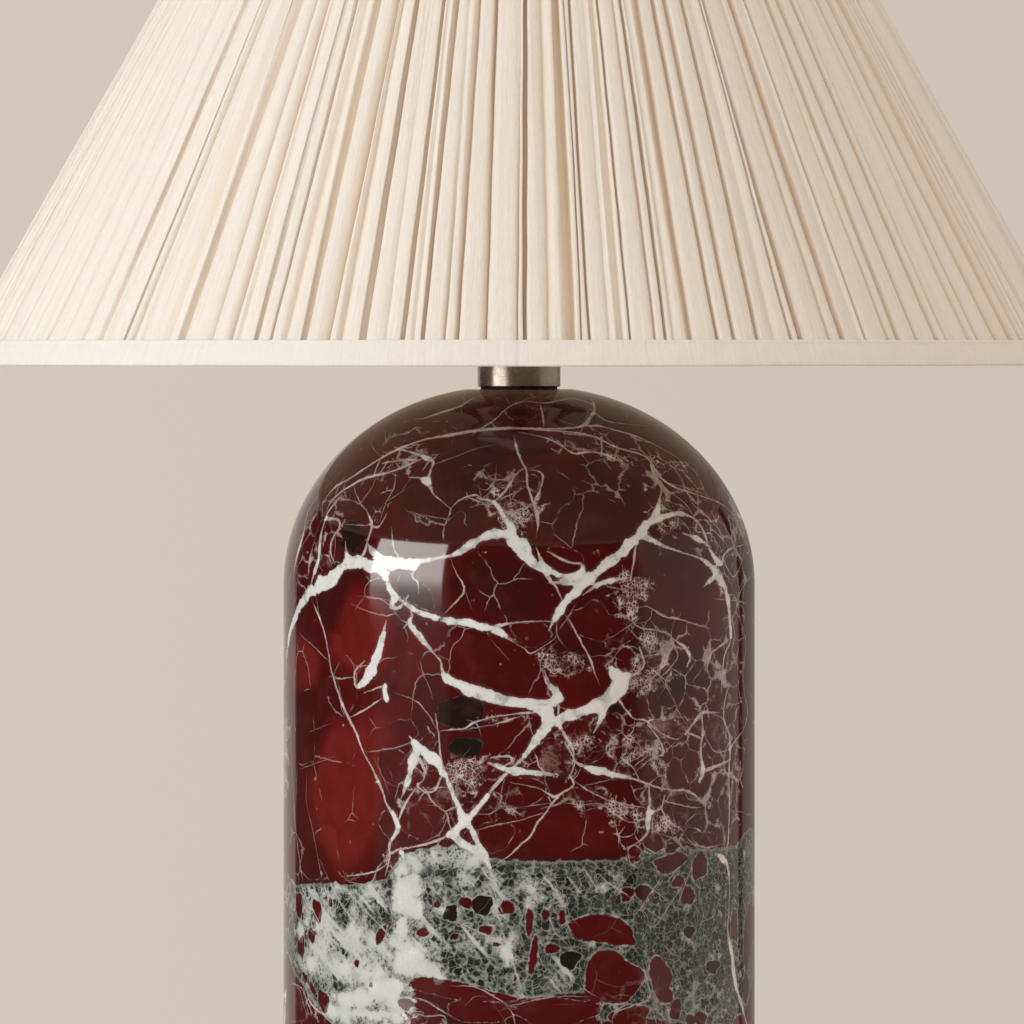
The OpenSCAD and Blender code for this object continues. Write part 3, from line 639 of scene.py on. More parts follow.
# broad white veins: (x, y, width) on the tracing sheets
VEINS_UP = [
    # dome arc and its strands
    [(150, 385, 4), (180, 350, 13), (230, 320, 10), (290, 280, 12), (330, 255, 12), (400, 220, 10), (470, 195, 10), (540, 182, 13), (600, 172, 15),
     (660, 163, 14), (730, 158, 14), (800, 158, 12), (870, 160, 12), (930, 158, 11), (990, 150, 12), (1010, 125, 13), (1028, 95, 8), (1015, 62, 4)],
    [(850, 163, 8), (950, 170, 11), (1010, 180, 13), (1050, 195, 15), (1080, 212, 12), (1115, 225, 13), (1170, 240, 13), (1200, 255, 12),
     (1225, 290, 15), (1245, 320, 12), (1290, 350, 10), (1350, 370, 8), (1420, 395, 7), (1460, 415, 3)],
    [(990, 150, 10), (1040, 150, 13), (1100, 165, 10), (1160, 182, 8), (1230, 215, 6), (1300, 255, 5), (1360, 300, 3)],
    [(1020, 100, 8), (1060, 130, 8), (1100, 140, 6), (1190, 150, 3)],
    [(790, 172, 3), (870, 190, 9), (920, 215, 11), (960, 240, 11), (1000, 235, 13), (1050, 240, 13), (1090, 255, 10), (1115, 270, 3)],
    [(1050, 195, 8), (1050, 240, 8)], [(1100, 222, 7), (1095, 255, 7)],
    [(450, 130, 3), (480, 122, 10), (530, 105, 22), (590, 85, 16), (640, 55, 8), (700, 45, 4)],
    [(640, 170, 5), (700, 130, 6), (745, 90, 8), (800, 70, 6), (870, 75, 8), (950, 62, 6), (1010, 75, 5)],
    # junction on the left shoulder
    [(380, 222, 4), (440, 240, 12), (480, 255, 20), (500, 270, 13), (490, 300, 9), (484, 325, 20), (492, 352, 12), (505, 376, 9), (517, 388, 12), (530, 397, 5), (550, 415, 5)],
    [(432, 318, 5), (455, 320, 14), (475, 330, 22), (490, 348, 12)],
    [(455, 262, 8), (400, 285, 12), (360, 300, 11), (320, 310, 13), (280, 320, 13), (240, 340, 10), (200, 365, 8), (168, 395, 8), (155, 420, 4)],
    [(330, 255, 8), (308, 305, 6)], [(345, 270, 8), (400, 262, 12), (445, 262, 10)], [(330, 300, 6), (345, 275, 6)], [(372, 262, 6), (390, 285, 6)],
    [(195, 385, 5), (165, 420, 9), (150, 450, 13), (185, 455, 11), (195, 467, 11), (190, 490, 6), (170, 520, 8), (165, 560, 8), (175, 590, 5)],
    [(150, 450, 13), (135, 500, 11), (130, 540, 13), (125, 590, 16), (112, 630, 13), (103, 660, 10)],
    [(115, 390, 4), (92, 430, 6), (82, 470, 8), (75, 510, 14), (60, 560, 15), (50, 600, 7), (44, 640, 3)],
    # left white vein
    [(20, 960, 6), (22, 900, 14), (31, 835, 26), (50, 775, 30), (76, 722, 36), (102, 690, 42), (135, 665, 42), (170, 648, 46), (200, 618, 34),
     (228, 600, 36), (262, 600, 42), (300, 606, 44), (330, 622, 34), (345, 645, 26)],
    [(214, 540, 4), (216, 565, 16), (222, 595, 30)],
    [(285, 430, 3), (300, 472, 15), (291, 510, 11), (277, 558, 13), (262, 585, 14)], [(300, 475, 12), (322, 480, 9), (342, 448, 4)],
    [(285, 530, 6), (305, 565, 26), (345, 588, 44), (382, 602, 42), (420, 603, 42), (462, 592, 24), (500, 585, 14), (550, 575, 10), (580, 570, 13)],
    [(440, 612, 18), (432, 640, 10), (450, 662, 8), (452, 685, 3)], [(365, 495, 3), (370, 540, 7), (384, 575, 10)],
    [(340, 630, 24), (358, 680, 28), (374, 708, 34), (366, 738, 18), (384, 746, 13), (400, 735, 14), (412, 715, 9)],
    [(392, 715, 14), (430, 745, 20), (470, 765, 25), (520, 780, 27), (570, 790, 29), (620, 795, 27), (670, 808, 31), (712, 822, 32), (738, 838, 16), (768, 860, 3)],
    [(715, 803, 15), (750, 795, 8), (800, 790, 5), (850, 788, 6), (892, 790, 4)],
    [(412, 722, 9), (430, 762, 14), (424, 785, 18), (412, 800, 6)],
    [(408, 790, 5), (425, 800, 16), (442, 822, 28), (474, 860, 20), (500, 890, 10), (525, 920, 8), (530, 950, 13), (546, 977, 34), (590, 1000, 28),
     (640, 1010, 26), (690, 1025, 25), (750, 1042, 20), (830, 1050, 16), (900, 1052, 22)],
    [(862, 965, 4), (872, 990, 13), (896, 1012, 21), (918, 1040, 24)],
    # centre vein
    [(550, 577, 8), (590, 560, 28), (620, 537, 32), (660, 517, 32), (700, 502, 38), (738, 502, 42), (762, 530, 42), (792, 570, 34), (830, 600, 28),
     (860, 620, 22), (880, 650, 14), (905, 680, 10), (918, 712, 4)],
    [(655, 388, 6), (700, 400, 17), (722, 432, 17), (742, 462, 22), (760, 490, 30)],
    [(785, 520, 8), (802, 530, 30), (812, 552, 22), (818, 590, 16)],
    [(842, 560, 6), (860, 600, 20), (900, 632, 16), (940, 642, 25), (972, 640, 34), (988, 618, 26), (982, 600, 12), (955, 598, 10), (925, 588, 10), (885, 566, 4)],
    [(893, 662, 10), (930, 663, 21), (968, 664, 16)],
    # long diagonal and its arms
    [(1215, 285, 14), (1228, 320, 13), (1246, 352, 10), (1240, 390, 12), (1234, 420, 21), (1216, 450, 25), (1190, 482, 30), (1160, 520, 40), (1120, 560, 43),
     (1072, 600, 34), (1030, 632, 36), (990, 670, 36), (950, 710, 36), (915, 750, 32), (896, 782, 20), (884, 806, 5)],
    [(1185, 478, 12), (1250, 450, 25), (1300, 436, 22), (1340, 446, 10), (1370, 470, 12), (1390, 510, 14), (1402, 550, 14), (1430, 592, 28), (1444, 598, 16),
     (1452, 570, 9), (1475, 550, 8), (1510, 540, 4)],
    [(1325, 503, 8), (1368, 520, 26), (1400, 540, 12)],
    [(1176, 500, 24), (1220, 525, 21), (1260, 545, 12), (1320, 565, 8), (1370, 582, 8), (1402, 604, 28), (1432, 642, 46), (1455, 682, 34), (1466, 732, 25),
     (1470, 790, 21), (1472, 850, 15), (1452, 900, 10), (1446, 960, 8), (1442, 1010, 7)],
    [(1392, 668, 6), (1405, 655, 22), (1420, 640, 26)],
    [(1448, 585, 8), (1482, 642, 6), (1516, 560, 4)],
    [(1162, 535, 12), (1156, 590, 10), (1148, 640, 9)],
    [(1000, 695, 5), (1040, 668, 18), (1078, 656, 22), (1112, 650, 9)],
    # loose white on the left and the blob on the right
    [(344, 800, 5), (332, 850, 22), (317, 900, 33), (297, 950, 40), (277, 985, 24), (250, 1003, 9), (243, 975, 8), (246, 950, 8), (268, 925, 4)],
    [(345, 985, 10), (342, 1010, 26), (347, 1040, 26)], [(285, 1018, 6), (335, 1000, 10)],
    [(1075, 930, 14), (1092, 955, 44), (1112, 990, 62), (1092, 1022, 56), (1050, 1045, 36), (1020, 1062, 16)],
    [(1178, 885, 10), (1190, 930, 10), (1160, 962, 12), (1130, 962, 20)],
    [(1290, 850, 5), (1318, 870, 13), (1340, 900, 19), (1334, 925, 8)],
    [(1462, 852, 6), (1435, 872, 10), (1410, 892, 14), (1398, 924, 14), (1396, 945, 4)],
]
VEINS_LOW = [
    [(182, -20, 9), (192, 10, 12), (215, 60, 12), (240, 110, 8), (262, 170, 7), (290, 220, 8), (315, 275, 14), (330, 310, 6), (340, 345, 8), (365, 385, 15),
     (378, 430, 16), (352, 475, 12), (350, 520, 7), (340, 570, 4)],
    [(430, 305, 6), (400, 350, 11), (382, 395, 12)], [(345, 450, 14), (338, 448, 6)],
    # white wedge and the cross below it
    [(425, 132, 8), (440, 160, 26), (432, 200, 40), (418, 240, 36), (404, 285, 18), (394, 315, 5)],
    [(430, 140, 18), (462, 170, 40), (492, 192, 44), (515, 215, 34), (528, 250, 20)],
    [(505, 60, 5), (514, 120, 8), (520, 190, 12), (535, 240, 16), (552, 290, 18), (575, 345, 22), (596, 392, 30), (628, 440, 24), (652, 490, 22), (676, 540, 18),
     (692, 590, 14), (700, 640, 9), (720, 690, 6)],
    [(812, 160, 14), (790, 195, 13), (752, 232, 12), (720, 262, 14), (690, 300, 15), (650, 352, 18), (618, 385, 26), (585, 420, 26), (552, 445, 18),
     (500, 470, 9), (430, 488, 9), (380, 498, 12), (355, 510, 14)],
    [(560, 440, 22), (590, 478, 26), (630, 500, 24), (665, 520, 18)],
    [(390, 505, 20), (400, 540, 16), (385, 580, 12)],
    [(460, 300, 9), (440, 282, 8), (462, 268, 7), (466, 240, 8)], [(466, 232, 10), (455, 206, 12)], [(520, 262, 14), (500, 302, 9), (470, 305, 8), (455, 322, 5)],
    [(470, 300, 8), (500, 345, 7), (540, 375, 8), (548, 410, 8), (560, 440, 14)], [(548, 365, 8), (580, 352, 12)],
    # main white vein
    [(600, -25, 26), (680, -4, 26), (740, 12, 22), (800, 14, 26), (850, 36, 42), (880, 40, 58), (872, 85, 44), (842, 130, 34), (812, 168, 22), (790, 196, 12)],
    [(905, 66, 30), (960, 50, 46), (1015, 30, 48), (1060, 14, 40), (1110, -16, 30)], [(1035, 98, 8), (1048, 72, 20), (1062, 40, 24)],
    [(905, -30, 22), (912, 20, 10), (908, 60, 12)],
    [(690, 213, 10), (715, 222, 22), (760, 236, 28), (828, 240, 20), (880, 246, 12)], [(700, 190, 6), (745, 186, 10), (760, 200, 7), (740, 215, 8)],
    [(965, 205, 5), (1000, 222, 18), (1040, 232, 30), (1082, 244, 36), (1118, 252, 22), (1160, 262, 9), (1240, 290, 9), (1290, 300, 7), (1335, 300, 13),
     (1372, 322, 10), (1395, 350, 5)],
    [(912, 78, 20), (935, 120, 12), (962, 170, 8), (960, 200, 6)], [(940, 150, 6), (965, 205, 7), (950, 250, 5)],
    [(1120, 10, 14), (1160, 60, 7), (1200, 68, 9), (1225, 90, 5)],
    [(1130, 200, 10), (1160, 225, 6), (1175, 255, 6)], [(1175, 210, 6), (1200, 190, 4)],
    [(1215, 90, 6), (1245, 130, 8), (1262, 175, 10), (1235, 190, 4)],
    [(1340, 105, 10), (1372, 62, 13), (1392, 42, 16), (1440, 42, 4)], [(1388, 50, 12), (1392, 110, 9), (1385, 150, 9), (1386, 190, 14), (1392, 236, 22), (1384, 262, 18)],
    [(1390, 238, 16), (1425, 224, 15), (1456, 212, 9), (1478, 200, 8)], [(1345, 110, 8), (1375, 122, 8)],
    [(1470, -20, 12), (1462, 20, 12), (1462, 68, 9), (1478, 110, 14), (1482, 160, 13), (1478, 240, 11), (1479, 320, 8), (1478, 420, 8), (1472, 500, 10)],
    [(1482, 160, 12), (1510, 120, 7), (1528, 95, 8), (1540, 40, 7), (1532, -10, 5)],
    [(1213, 300, 10), (1215, 350, 16), (1210, 400, 20), (1208, 440, 14), (1180, 470, 8), (1145, 488, 5)], [(1215, 375, 18), (1252, 360, 12), (1262, 330, 8)],
    [(1255, 362, 10), (1275, 400, 8), (1320, 430, 6)],
    [(955, 262, 8), (962, 285, 9), (930, 305, 10), (898, 322, 10), (880, 312, 8), (840, 292, 4), (765, 276, 3)],
    [(905, 328, 9), (890, 345, 7), (872, 372, 8), (840, 410, 8), (820, 450, 9), (782, 486, 9), (742, 522, 5), (700, 548, 4)],
    # right border of the green bed
    [(1438, 514, 12), (1455, 526, 28), (1474, 556, 22), (1480, 620, 9), (1478, 700, 8), (1474, 770, 14), (1488, 850, 26), (1498, 935, 30), (1516, 1000, 24),
     (1530, 1050, 14), (1540, 1090, 8)],
    # white in the green bed
    [(362, 560, 8), (380, 590, 16), (398, 640, 30), (412, 690, 30), (398, 745, 16), (384, 790, 12), (372, 850, 10)],
    [(160, 620, 8), (185, 670, 9), (222, 722, 10), (262, 778, 12), (310, 832, 12), (352, 872, 12), (382, 900, 10)],
    [(60, 622, 8), (92, 690, 8), (128, 760, 8), (158, 812, 12), (196, 860, 10), (232, 905, 12), (262, 950, 12)],
    [(200, 622, 4), (262, 690, 6), (322, 752, 6), (362, 792, 5)],
    [(228, 900, 8), (262, 908, 16), (300, 916, 16), (330, 935, 20), (350, 960, 24), (372, 985, 16)],
    [(155, 975, 6), (190, 1000, 14), (240, 985, 18), (290, 980, 16), (330, 1000, 16), (372, 1020, 20), (402, 1050, 14), (420, 1085, 10)],
    [(75, 960, 6), (85, 1000, 6), (110, 1030, 8), (160, 1060, 6)], [(822, 560, 4), (826, 578, 6)],
    [(722, 762, 4), (738, 800, 14), (748, 832, 20), (762, 876, 13), (778, 930, 9), (792, 975, 5)],
    [(590, 745, 6), (640, 768, 8), (692, 790, 7), (728, 812, 6)], [(690, 640, 8), (704, 700, 9), (720, 740, 6)],
    [(885, 735, 8), (900, 770, 7), (930, 800, 5)], [(1058, 590, 5), (1082, 610, 8), (1130, 642, 5)],
]

# thin lines, same sheets
HAIRS_UP = [
    [(735, 55, 3), (760, 90, 3)], [(850, 80, 7), (858, 115, 7), (862, 155, 6)],
    [(505, 275, 8), (560, 255, 4), (640, 225, 3), (695, 212, 3)],
    [(550, 415, 6), (556, 430, 12), (545, 460, 4)], [(556, 430, 9), (572, 404, 6), (602, 385, 6), (640, 376, 8), (668, 395, 8)],
    [(472, 440, 3), (510, 450, 4), (540, 452, 6)],
    [(765, 190, 9), (775, 230, 8), (790, 268, 8), (805, 295, 9), (808, 340, 8), (820, 380, 9), (832, 420, 12), (836, 452, 9)],
    [(805, 293, 7), (850, 300, 7), (858, 325, 7), (846, 368, 8), (832, 400, 8), (840, 440, 16), (842, 476, 12), (838, 505, 4)],
    [(800, 288, 6), (770, 310, 7), (750, 340, 9), (730, 370, 11), (700, 395, 12)], [(790, 345, 6), (812, 352, 6), (842, 366, 5)],
    [(680, 308, 5), (700, 325, 7), (750, 320, 6), (785, 296, 6)], [(645, 348, 5), (672, 360, 6), (700, 330, 5), (706, 286, 3)], [(650, 350, 5), (660, 390, 6)],
    [(750, 350, 5), (756, 398, 4), (790, 402, 3)], [(700, 395, 8), (760, 372, 6), (800, 350, 5)],
    [(715, 400, 5), (762, 470, 5)], [(740, 396, 5), (778, 480, 5)], [(770, 420, 4), (800, 470, 4)], [(790, 402, 4), (818, 440, 4), (824, 470, 4)], [(730, 430, 4), (790, 410, 4)],
    [(700, 330, 4), (722, 350, 4), (752, 345, 4)],
    [(868, 75, 6), (950, 60, 6), (1012, 76, 6), (1026, 100, 6), (1006, 136, 6), (960, 156, 5)],
    [(240, 345, 4), (262, 400, 5), (285, 432, 6)], [(190, 385, 4), (240, 395, 4), (262, 402, 4), (300, 350, 4), (315, 312, 4)],
    [(378, 300, 3), (372, 350, 4), (340, 415, 4), (330, 450, 5)], [(430, 345, 3), (345, 400, 3)],
    [(210, 470, 3), (270, 475, 4), (298, 474, 5)], [(560, 590, 4), (575, 630, 4), (602, 684, 8), (570, 730, 5), (530, 768, 4)], [(604, 688, 4), (622, 735, 2)],
    [(240, 735, 3), (300, 760, 4), (345, 770, 4), (372, 764, 5), (388, 745, 6)], [(262, 706, 3), (340, 716, 4), (362, 720, 4)],
    [(768, 858, 4), (800, 880, 5), (820, 892, 6), (862, 870, 4), (900, 842, 3), (905, 815, 3)],
    [(108, 728, 12), (130, 780, 9), (146, 830, 9), (156, 880, 8), (166, 940, 8), (180, 990, 10), (196, 1042, 11)],
    [(65, 830, 3), (110, 870, 4), (155, 915, 5)], [(168, 958, 5), (190, 975, 8), (240, 968, 3), (262, 946, 3)],
    [(452, 938, 3), (480, 985, 3), (496, 1032, 4)], [(500, 890, 3), (560, 920, 2)],
    [(930, 765, 8), (955, 800, 8), (980, 850, 8), (1010, 905, 10), (1026, 950, 7), (1040, 985, 5)],
    [(905, 780, 5), (905, 830, 4), (930, 870, 7)], [(885, 998, 8), (862, 955, 8), (850, 938, 4)], [(1012, 905, 5), (1060, 900, 4), (1105, 912, 4)],
    [(1155, 750, 6), (1200, 740, 4), (1250, 770, 6), (1300, 780, 8), (1350, 796, 6), (1405, 812, 4)],
    [(1155, 755, 6), (1155, 790, 5), (1180, 810, 5), (1250, 822, 5), (1290, 852, 6)], [(1100, 690, 4), (1080, 700, 3)],
    [(1420, 715, 4), (1480, 720, 4), (1524, 730, 4)], [(1240, 850, 6), (1280, 862, 7), (1300, 900, 6), (1275, 940, 6), (1240, 975, 5), (1200, 1000, 5)],
    [(1190, 900, 5), (1230, 885, 5), (1262, 900, 4)], [(1200, 930, 5), (1232, 960, 6), (1262, 990, 5), (1240, 1030, 4)],
    [(1170, 780, 3), (1100, 830, 3), (1060, 850, 3)], [(1130, 800, 4), (1180, 850, 4), (1240, 850, 5)], [(1090, 880, 3), (1150, 870, 4), (1182, 892, 5)],
    [(1560, 600, 3), (1510, 680, 5), (1500, 760, 5), (1522, 860, 5), (1512, 960, 5), (1520, 1040, 6)],
    [(1240, 330, 5), (1300, 345, 4), (1400, 380, 4), (1470, 430, 4), (1500, 480, 3)], [(1265, 360, 5), (1320, 400, 5), (1350, 440, 6)],
    [(1330, 340, 4), (1345, 400, 5), (1400, 450, 5), (1440, 500, 5), (1450, 560, 6)], [(1400, 450, 4), (1420, 410, 4)],
    [(1290, 438, 5), (1330, 480, 5), (1350, 515, 8)], [(250, 80, 2), (300, 190, 2), (330, 250, 3)], [(345, 160, 3), (350, 210, 3)],
    [(1100, 30, 3), (1180, 70, 3), (1240, 130, 3), (1300, 180, 3), (1380, 290, 3)], [(560, 150, 5), (575, 158, 8)],
    [(900, 860, 4), (862, 900, 3), (850, 940, 3)], [(700, 860, 2), (740, 905, 3)],
]
HAIRS_LOW = [
    [(272, 172, 4), (330, 166, 5), (400, 150, 4), (432, 128, 6)], [(380, -20, 3), (440, 5, 4), (480, 50, 4), (512, 105, 5)], [(215, 60, 7), (262, 36, 7), (300, 12, 7), (330, -10, 5)],
    [(512, 105, 7), (560, 98, 7), (600, 95, 7), (632, 74, 9), (660, 66, 7), (700, 56, 5), (780, 45, 8), (852, 40, 9)],
    [(620, 70, 10), (640, 80, 12), (652, 110, 5)], [(690, 82, 8), (740, 70, 12), (790, 52, 8)], [(600, 100, 4), (650, 90, 5), (690, 85, 6)],
    [(302, 200, 3), (330, 260, 3), (345, 300, 3)], [(272, 175, 3), (285, 210, 4)], [(75, 250, 3), (75, 340, 3), (95, 430, 3), (125, 590, 3)],
    [(18, 60, 5), (28, 250, 4), (38, 420, 5), (62, 600, 5)], [(88, 105, 2), (150, 80, 2)], [(60, 228, 2), (120, 205, 3), (160, 190, 2)],
    [(470, 300, 6), (520, 290, 7), (548, 290, 8)], [(490, 350, 3), (520, 350, 3)], [(545, 385, 7), (520, 440, 5), (480, 465, 5)],
    [(640, 432, 5), (700, 416, 4), (780, 400, 4), (872, 372, 5)], [(700, 318, 4), (745, 360, 4), (775, 396, 4)], [(780, 356, 4), (870, 345, 5)],
    [(745, 300, 4), (735, 340, 3)], [(690, 300, 5), (720, 318, 5), (715, 345, 5), (690, 372, 4)],
    [(640, 380, 6), (690, 376, 5), (720, 352, 4), (745, 362, 4)],
    [(925, 340, 6), (985, 348, 5), (1050, 345, 5), (1090, 372, 6), (1130, 398, 8), (1160, 408, 5)],
    [(965, 270, 6), (1010, 300, 6), (1070, 330, 6), (1130, 345, 6), (1200, 358, 6)],
    [(1000, 285, 4), (1060, 270, 4), (1105, 262, 5)], [(1020, 305, 4), (1040, 345, 4)], [(1085, 335, 4), (1095, 372, 5)], [(1140, 345, 4), (1150, 380, 4)],
    [(1150, 130, 5), (1180, 150, 5), (1180, 190, 5), (1140, 205, 5)], [(1110, 100, 5), (1140, 120, 6), (1160, 100, 5), (1165, 62, 5)],
    [(1230, 60, 4), (1240, 100, 5), (1300, 130, 6), (1330, 112, 6)], [(1262, 175, 6), (1300, 140, 6)], [(1300, 0, 4), (1310, 40, 5), (1345, 90, 5)],
    [(1280, 300, 6), (1262, 330, 6), (1300, 345, 6), (1370, 358, 5), (1392, 352, 6)], [(1330, 300, 8), (1345, 330, 5), (1372, 330, 5)],
    [(1325, 432, 5), (1342, 400, 5), (1380, 372, 5)], [(1290, 370, 4), (1300, 410, 4), (1320, 432, 4)], [(1330, 440, 5), (1350, 470, 5), (1400, 490, 6), (1450, 480, 5)],
    [(1240, 440, 5), (1290, 460, 5), (1322, 490, 5)], [(1190, 450, 6), (1200, 490, 6), (1250, 510, 5), (1270, 480, 5), (1240, 440, 5)],
    [(1140, 488, 6), (1150, 540, 6), (1180, 556, 5), (1198, 500, 5)], [(1395, 110, 5), (1430, 170, 6), (1478, 165, 6)], [(1400, 40, 5), (1455, 60, 5), (1464, 100, 5)],
    [(200, 585, 5), (250, 580, 7), (300, 570, 7), (345, 545, 6)], [(205, 600, 4), (260, 612, 6), (295, 600, 6), (310, 560, 5), (345, 520, 5)], [(200, 580, 5), (210, 600, 5), (240, 590, 4)],
    [(1260, 580, 6), (1205, 660, 6), (1150, 740, 4)], [(1335, 600, 6), (1282, 680, 6), (1225, 765, 4)], [(1180, 590, 4), (1240, 640, 5), (1300, 690, 4)], [(1140, 650, 4), (1200, 690, 5), (1270, 740, 4)],
    [(1355, 500, 6), (1352, 560, 6), (1330, 620, 5), (1300, 700, 5)], [(745, 1020, 6), (762, 1050, 6), (768, 1090, 6)], [(745, 1018, 5), (820, 1000, 5), (900, 985, 4), (1000, 985, 4)],
    [(420, 985, 6), (470, 1000, 6), (520, 1030, 7), (560, 1052, 6)], [(430, 1040, 6), (480, 1050, 6), (530, 1050, 6), (540, 1085, 6)], [(560, 950, 4), (640, 955, 5), (740, 1010, 6)],
    [(1190, 870, 6), (1205, 930, 8), (1215, 990, 7), (1160, 1015, 6), (1100, 1040, 5), (1090, 1080, 5)], [(1215, 990, 6), (1240, 960, 5), (1246, 960, 8)],
    [(610, 1005, 4), (635, 985, 4), (660, 985, 5)], [(1100, 985, 5), (1120, 978, 8), (1140, 982, 5)], [(80, 920, 5), (70, 980, 6), (100, 1050, 6)], [(30, 940, 5), (60, 960, 6), (70, 1000, 5)],
    [(1290, 880, 5), (1320, 960, 5), (1290, 1000, 5)], [(160, 640, 4), (150, 690, 5)], [(55, 640, 5), (70, 730, 5), (100, 780, 5)],
    [(980, 905, 5), (1000, 960, 5), (1040, 985, 5)],
]

# clasts with a sharp outline and a tone of their own: x, y, half width, half height, turn in degrees, tone
CLASTS_UP = [
    (235, 512, 40, 50, 0, -1.0), (1030, 400, 178, 142, -8, -0.35), (720, 690, 148, 104, 12, -0.35), (620, 290, 108, 88, -15, -0.25), (395, 425, 88, 82, 0, -0.1),
    (1300, 630, 118, 92, 15, -0.2), (265, 820, 96, 150, 10, 0.95), (640, 905, 130, 78, 5, 0.1), (440, 690, 70, 44, 30, -0.5), (820, 830, 62, 44, 0, 0.15), (940, 105, 68, 38, 0, -0.45),
    (790, 110, 46, 34, 0, -0.1), (345, 293, 13, 9, -20, 0.1), (378, 275, 12, 8, 0, 0.1), (160, 480, 13, 24, 10, 0.1), (150, 605, 26, 28, 30, 0.2), (1075, 226, 15, 10, 0, -0.3),
    (1030, 216, 22, 9, 10, -0.3), (1265, 410, 20, 15, 20, -0.7), (1385, 480, 24, 24, 0, -0.2), (1235, 352, 13, 12, 0, -0.2), (908, 655, 15, 7, 15, 0.8), (330, 620, 12, 8, 0, 0.2),
    (570, 470, 90, 60, -10, -0.3), (940, 570, 60, 20, 20, 0.2), (1100, 820, 60, 50, 20, 0.1), (450, 905, 66, 84, -25, 0.35), (70, 930, 50, 100, 0, 0.9), (1330, 960, 70, 70, 0, -0.35),
    (1225, 920, 26, 20, 0, -0.1), (1262, 950, 20, 22, 0, -0.2), (1150, 520, 8, 12, 0, -0.2), (1020, 790, 70, 60, 30, 0.1), (430, 200, 30, 12, -25, -0.4), (700, 325, 28, 16, -10, -0.2),
    (828, 335, 20, 30, 0, -0.2), (772, 335, 20, 24, 20, -0.2), (1440, 530, 30, 20, 40, -0.3), (1480, 610, 26, 40, 0, -0.2),
]
CLASTS_LOW = [
    (497, 265, 37, 30, 0, 0.2), (430, 262, 27, 36, 15, 0.3), (480, 140, 27, 25, 0, 0.1), (443, 177, 13, 8, 0, 0.4), (455, 293, 10, 8, 0, 0.2), (409, 218, 6, 6, 0, 0.3),
    (524, 322, 40, 44, 20, 0.1), (578, 392, 19, 34, -30, 0.0), (613, 456, 21, 21, 0, 0.1), (610, 352, 28, 11, -10, 0.1), (462, 388, 76, 82, -15, 0.25), (345, 405, 28, 44, 20, 0.15),
    (205, 300, 140, 250, 8, 1.0), (590, 42, 84, 56, 0, -1.1), (603, 160, 56, 36, 5, -1.35), (730, 140, 100, 52, -15, 0.0), (345, 60, 95, 90, 0, 0.1), (370, 220, 60, 60, 0, 0.2),
    (890, 185, 58, 56, 0, 0.1), (1100, 28, 17, 13, 0, -1.4), (1078, 80, 38, 36, 0, 0.0), (1180, 110, 34, 24, 0, -0.1), (1250, 95, 64, 34, 0, -0.2), (1288, 215, 92, 82, -30, -0.25),
    (1366, 92, 26, 34, 20, -0.3), (1430, 120, 34, 66, 0, -0.2), (1142, 234, 30, 16, 10, -0.2), (1020, 185, 50, 24, -20, -0.1), (940, 235, 32, 26, 0, -0.1), (790, 305, 72, 54, 0, 0.1),
    (1090, 300, 100, 28, 18, 0.1), (990, 315, 70, 20, 8, 0.2), (930, 440, 250, 92, 2, 0.3), (700, 455, 60, 52, 0, 0.15), (1230, 306, 22, 18, 0, -0.4), (1240, 342, 18, 14, 0, -0.9),
    (1320, 332, 50, 20, 0, -0.1), (1325, 382, 56, 38, 10, -0.1), (1420, 350, 54, 92, 0, -0.3), (1400, 462, 48, 24, 10, -0.1), (1228, 475, 34, 34, 0, 0.0), (1290, 490, 26, 18, 0, -0.2),
    (1165, 508, 20, 26, 0, 0.2), (870, 90, 6, 10, 0, 0.3), (700, 212, 46, 18, 0, 0.2), (690, 250, 34, 16, 0, 0.2), (975, 95, 46, 28, -20, 0.2),
]
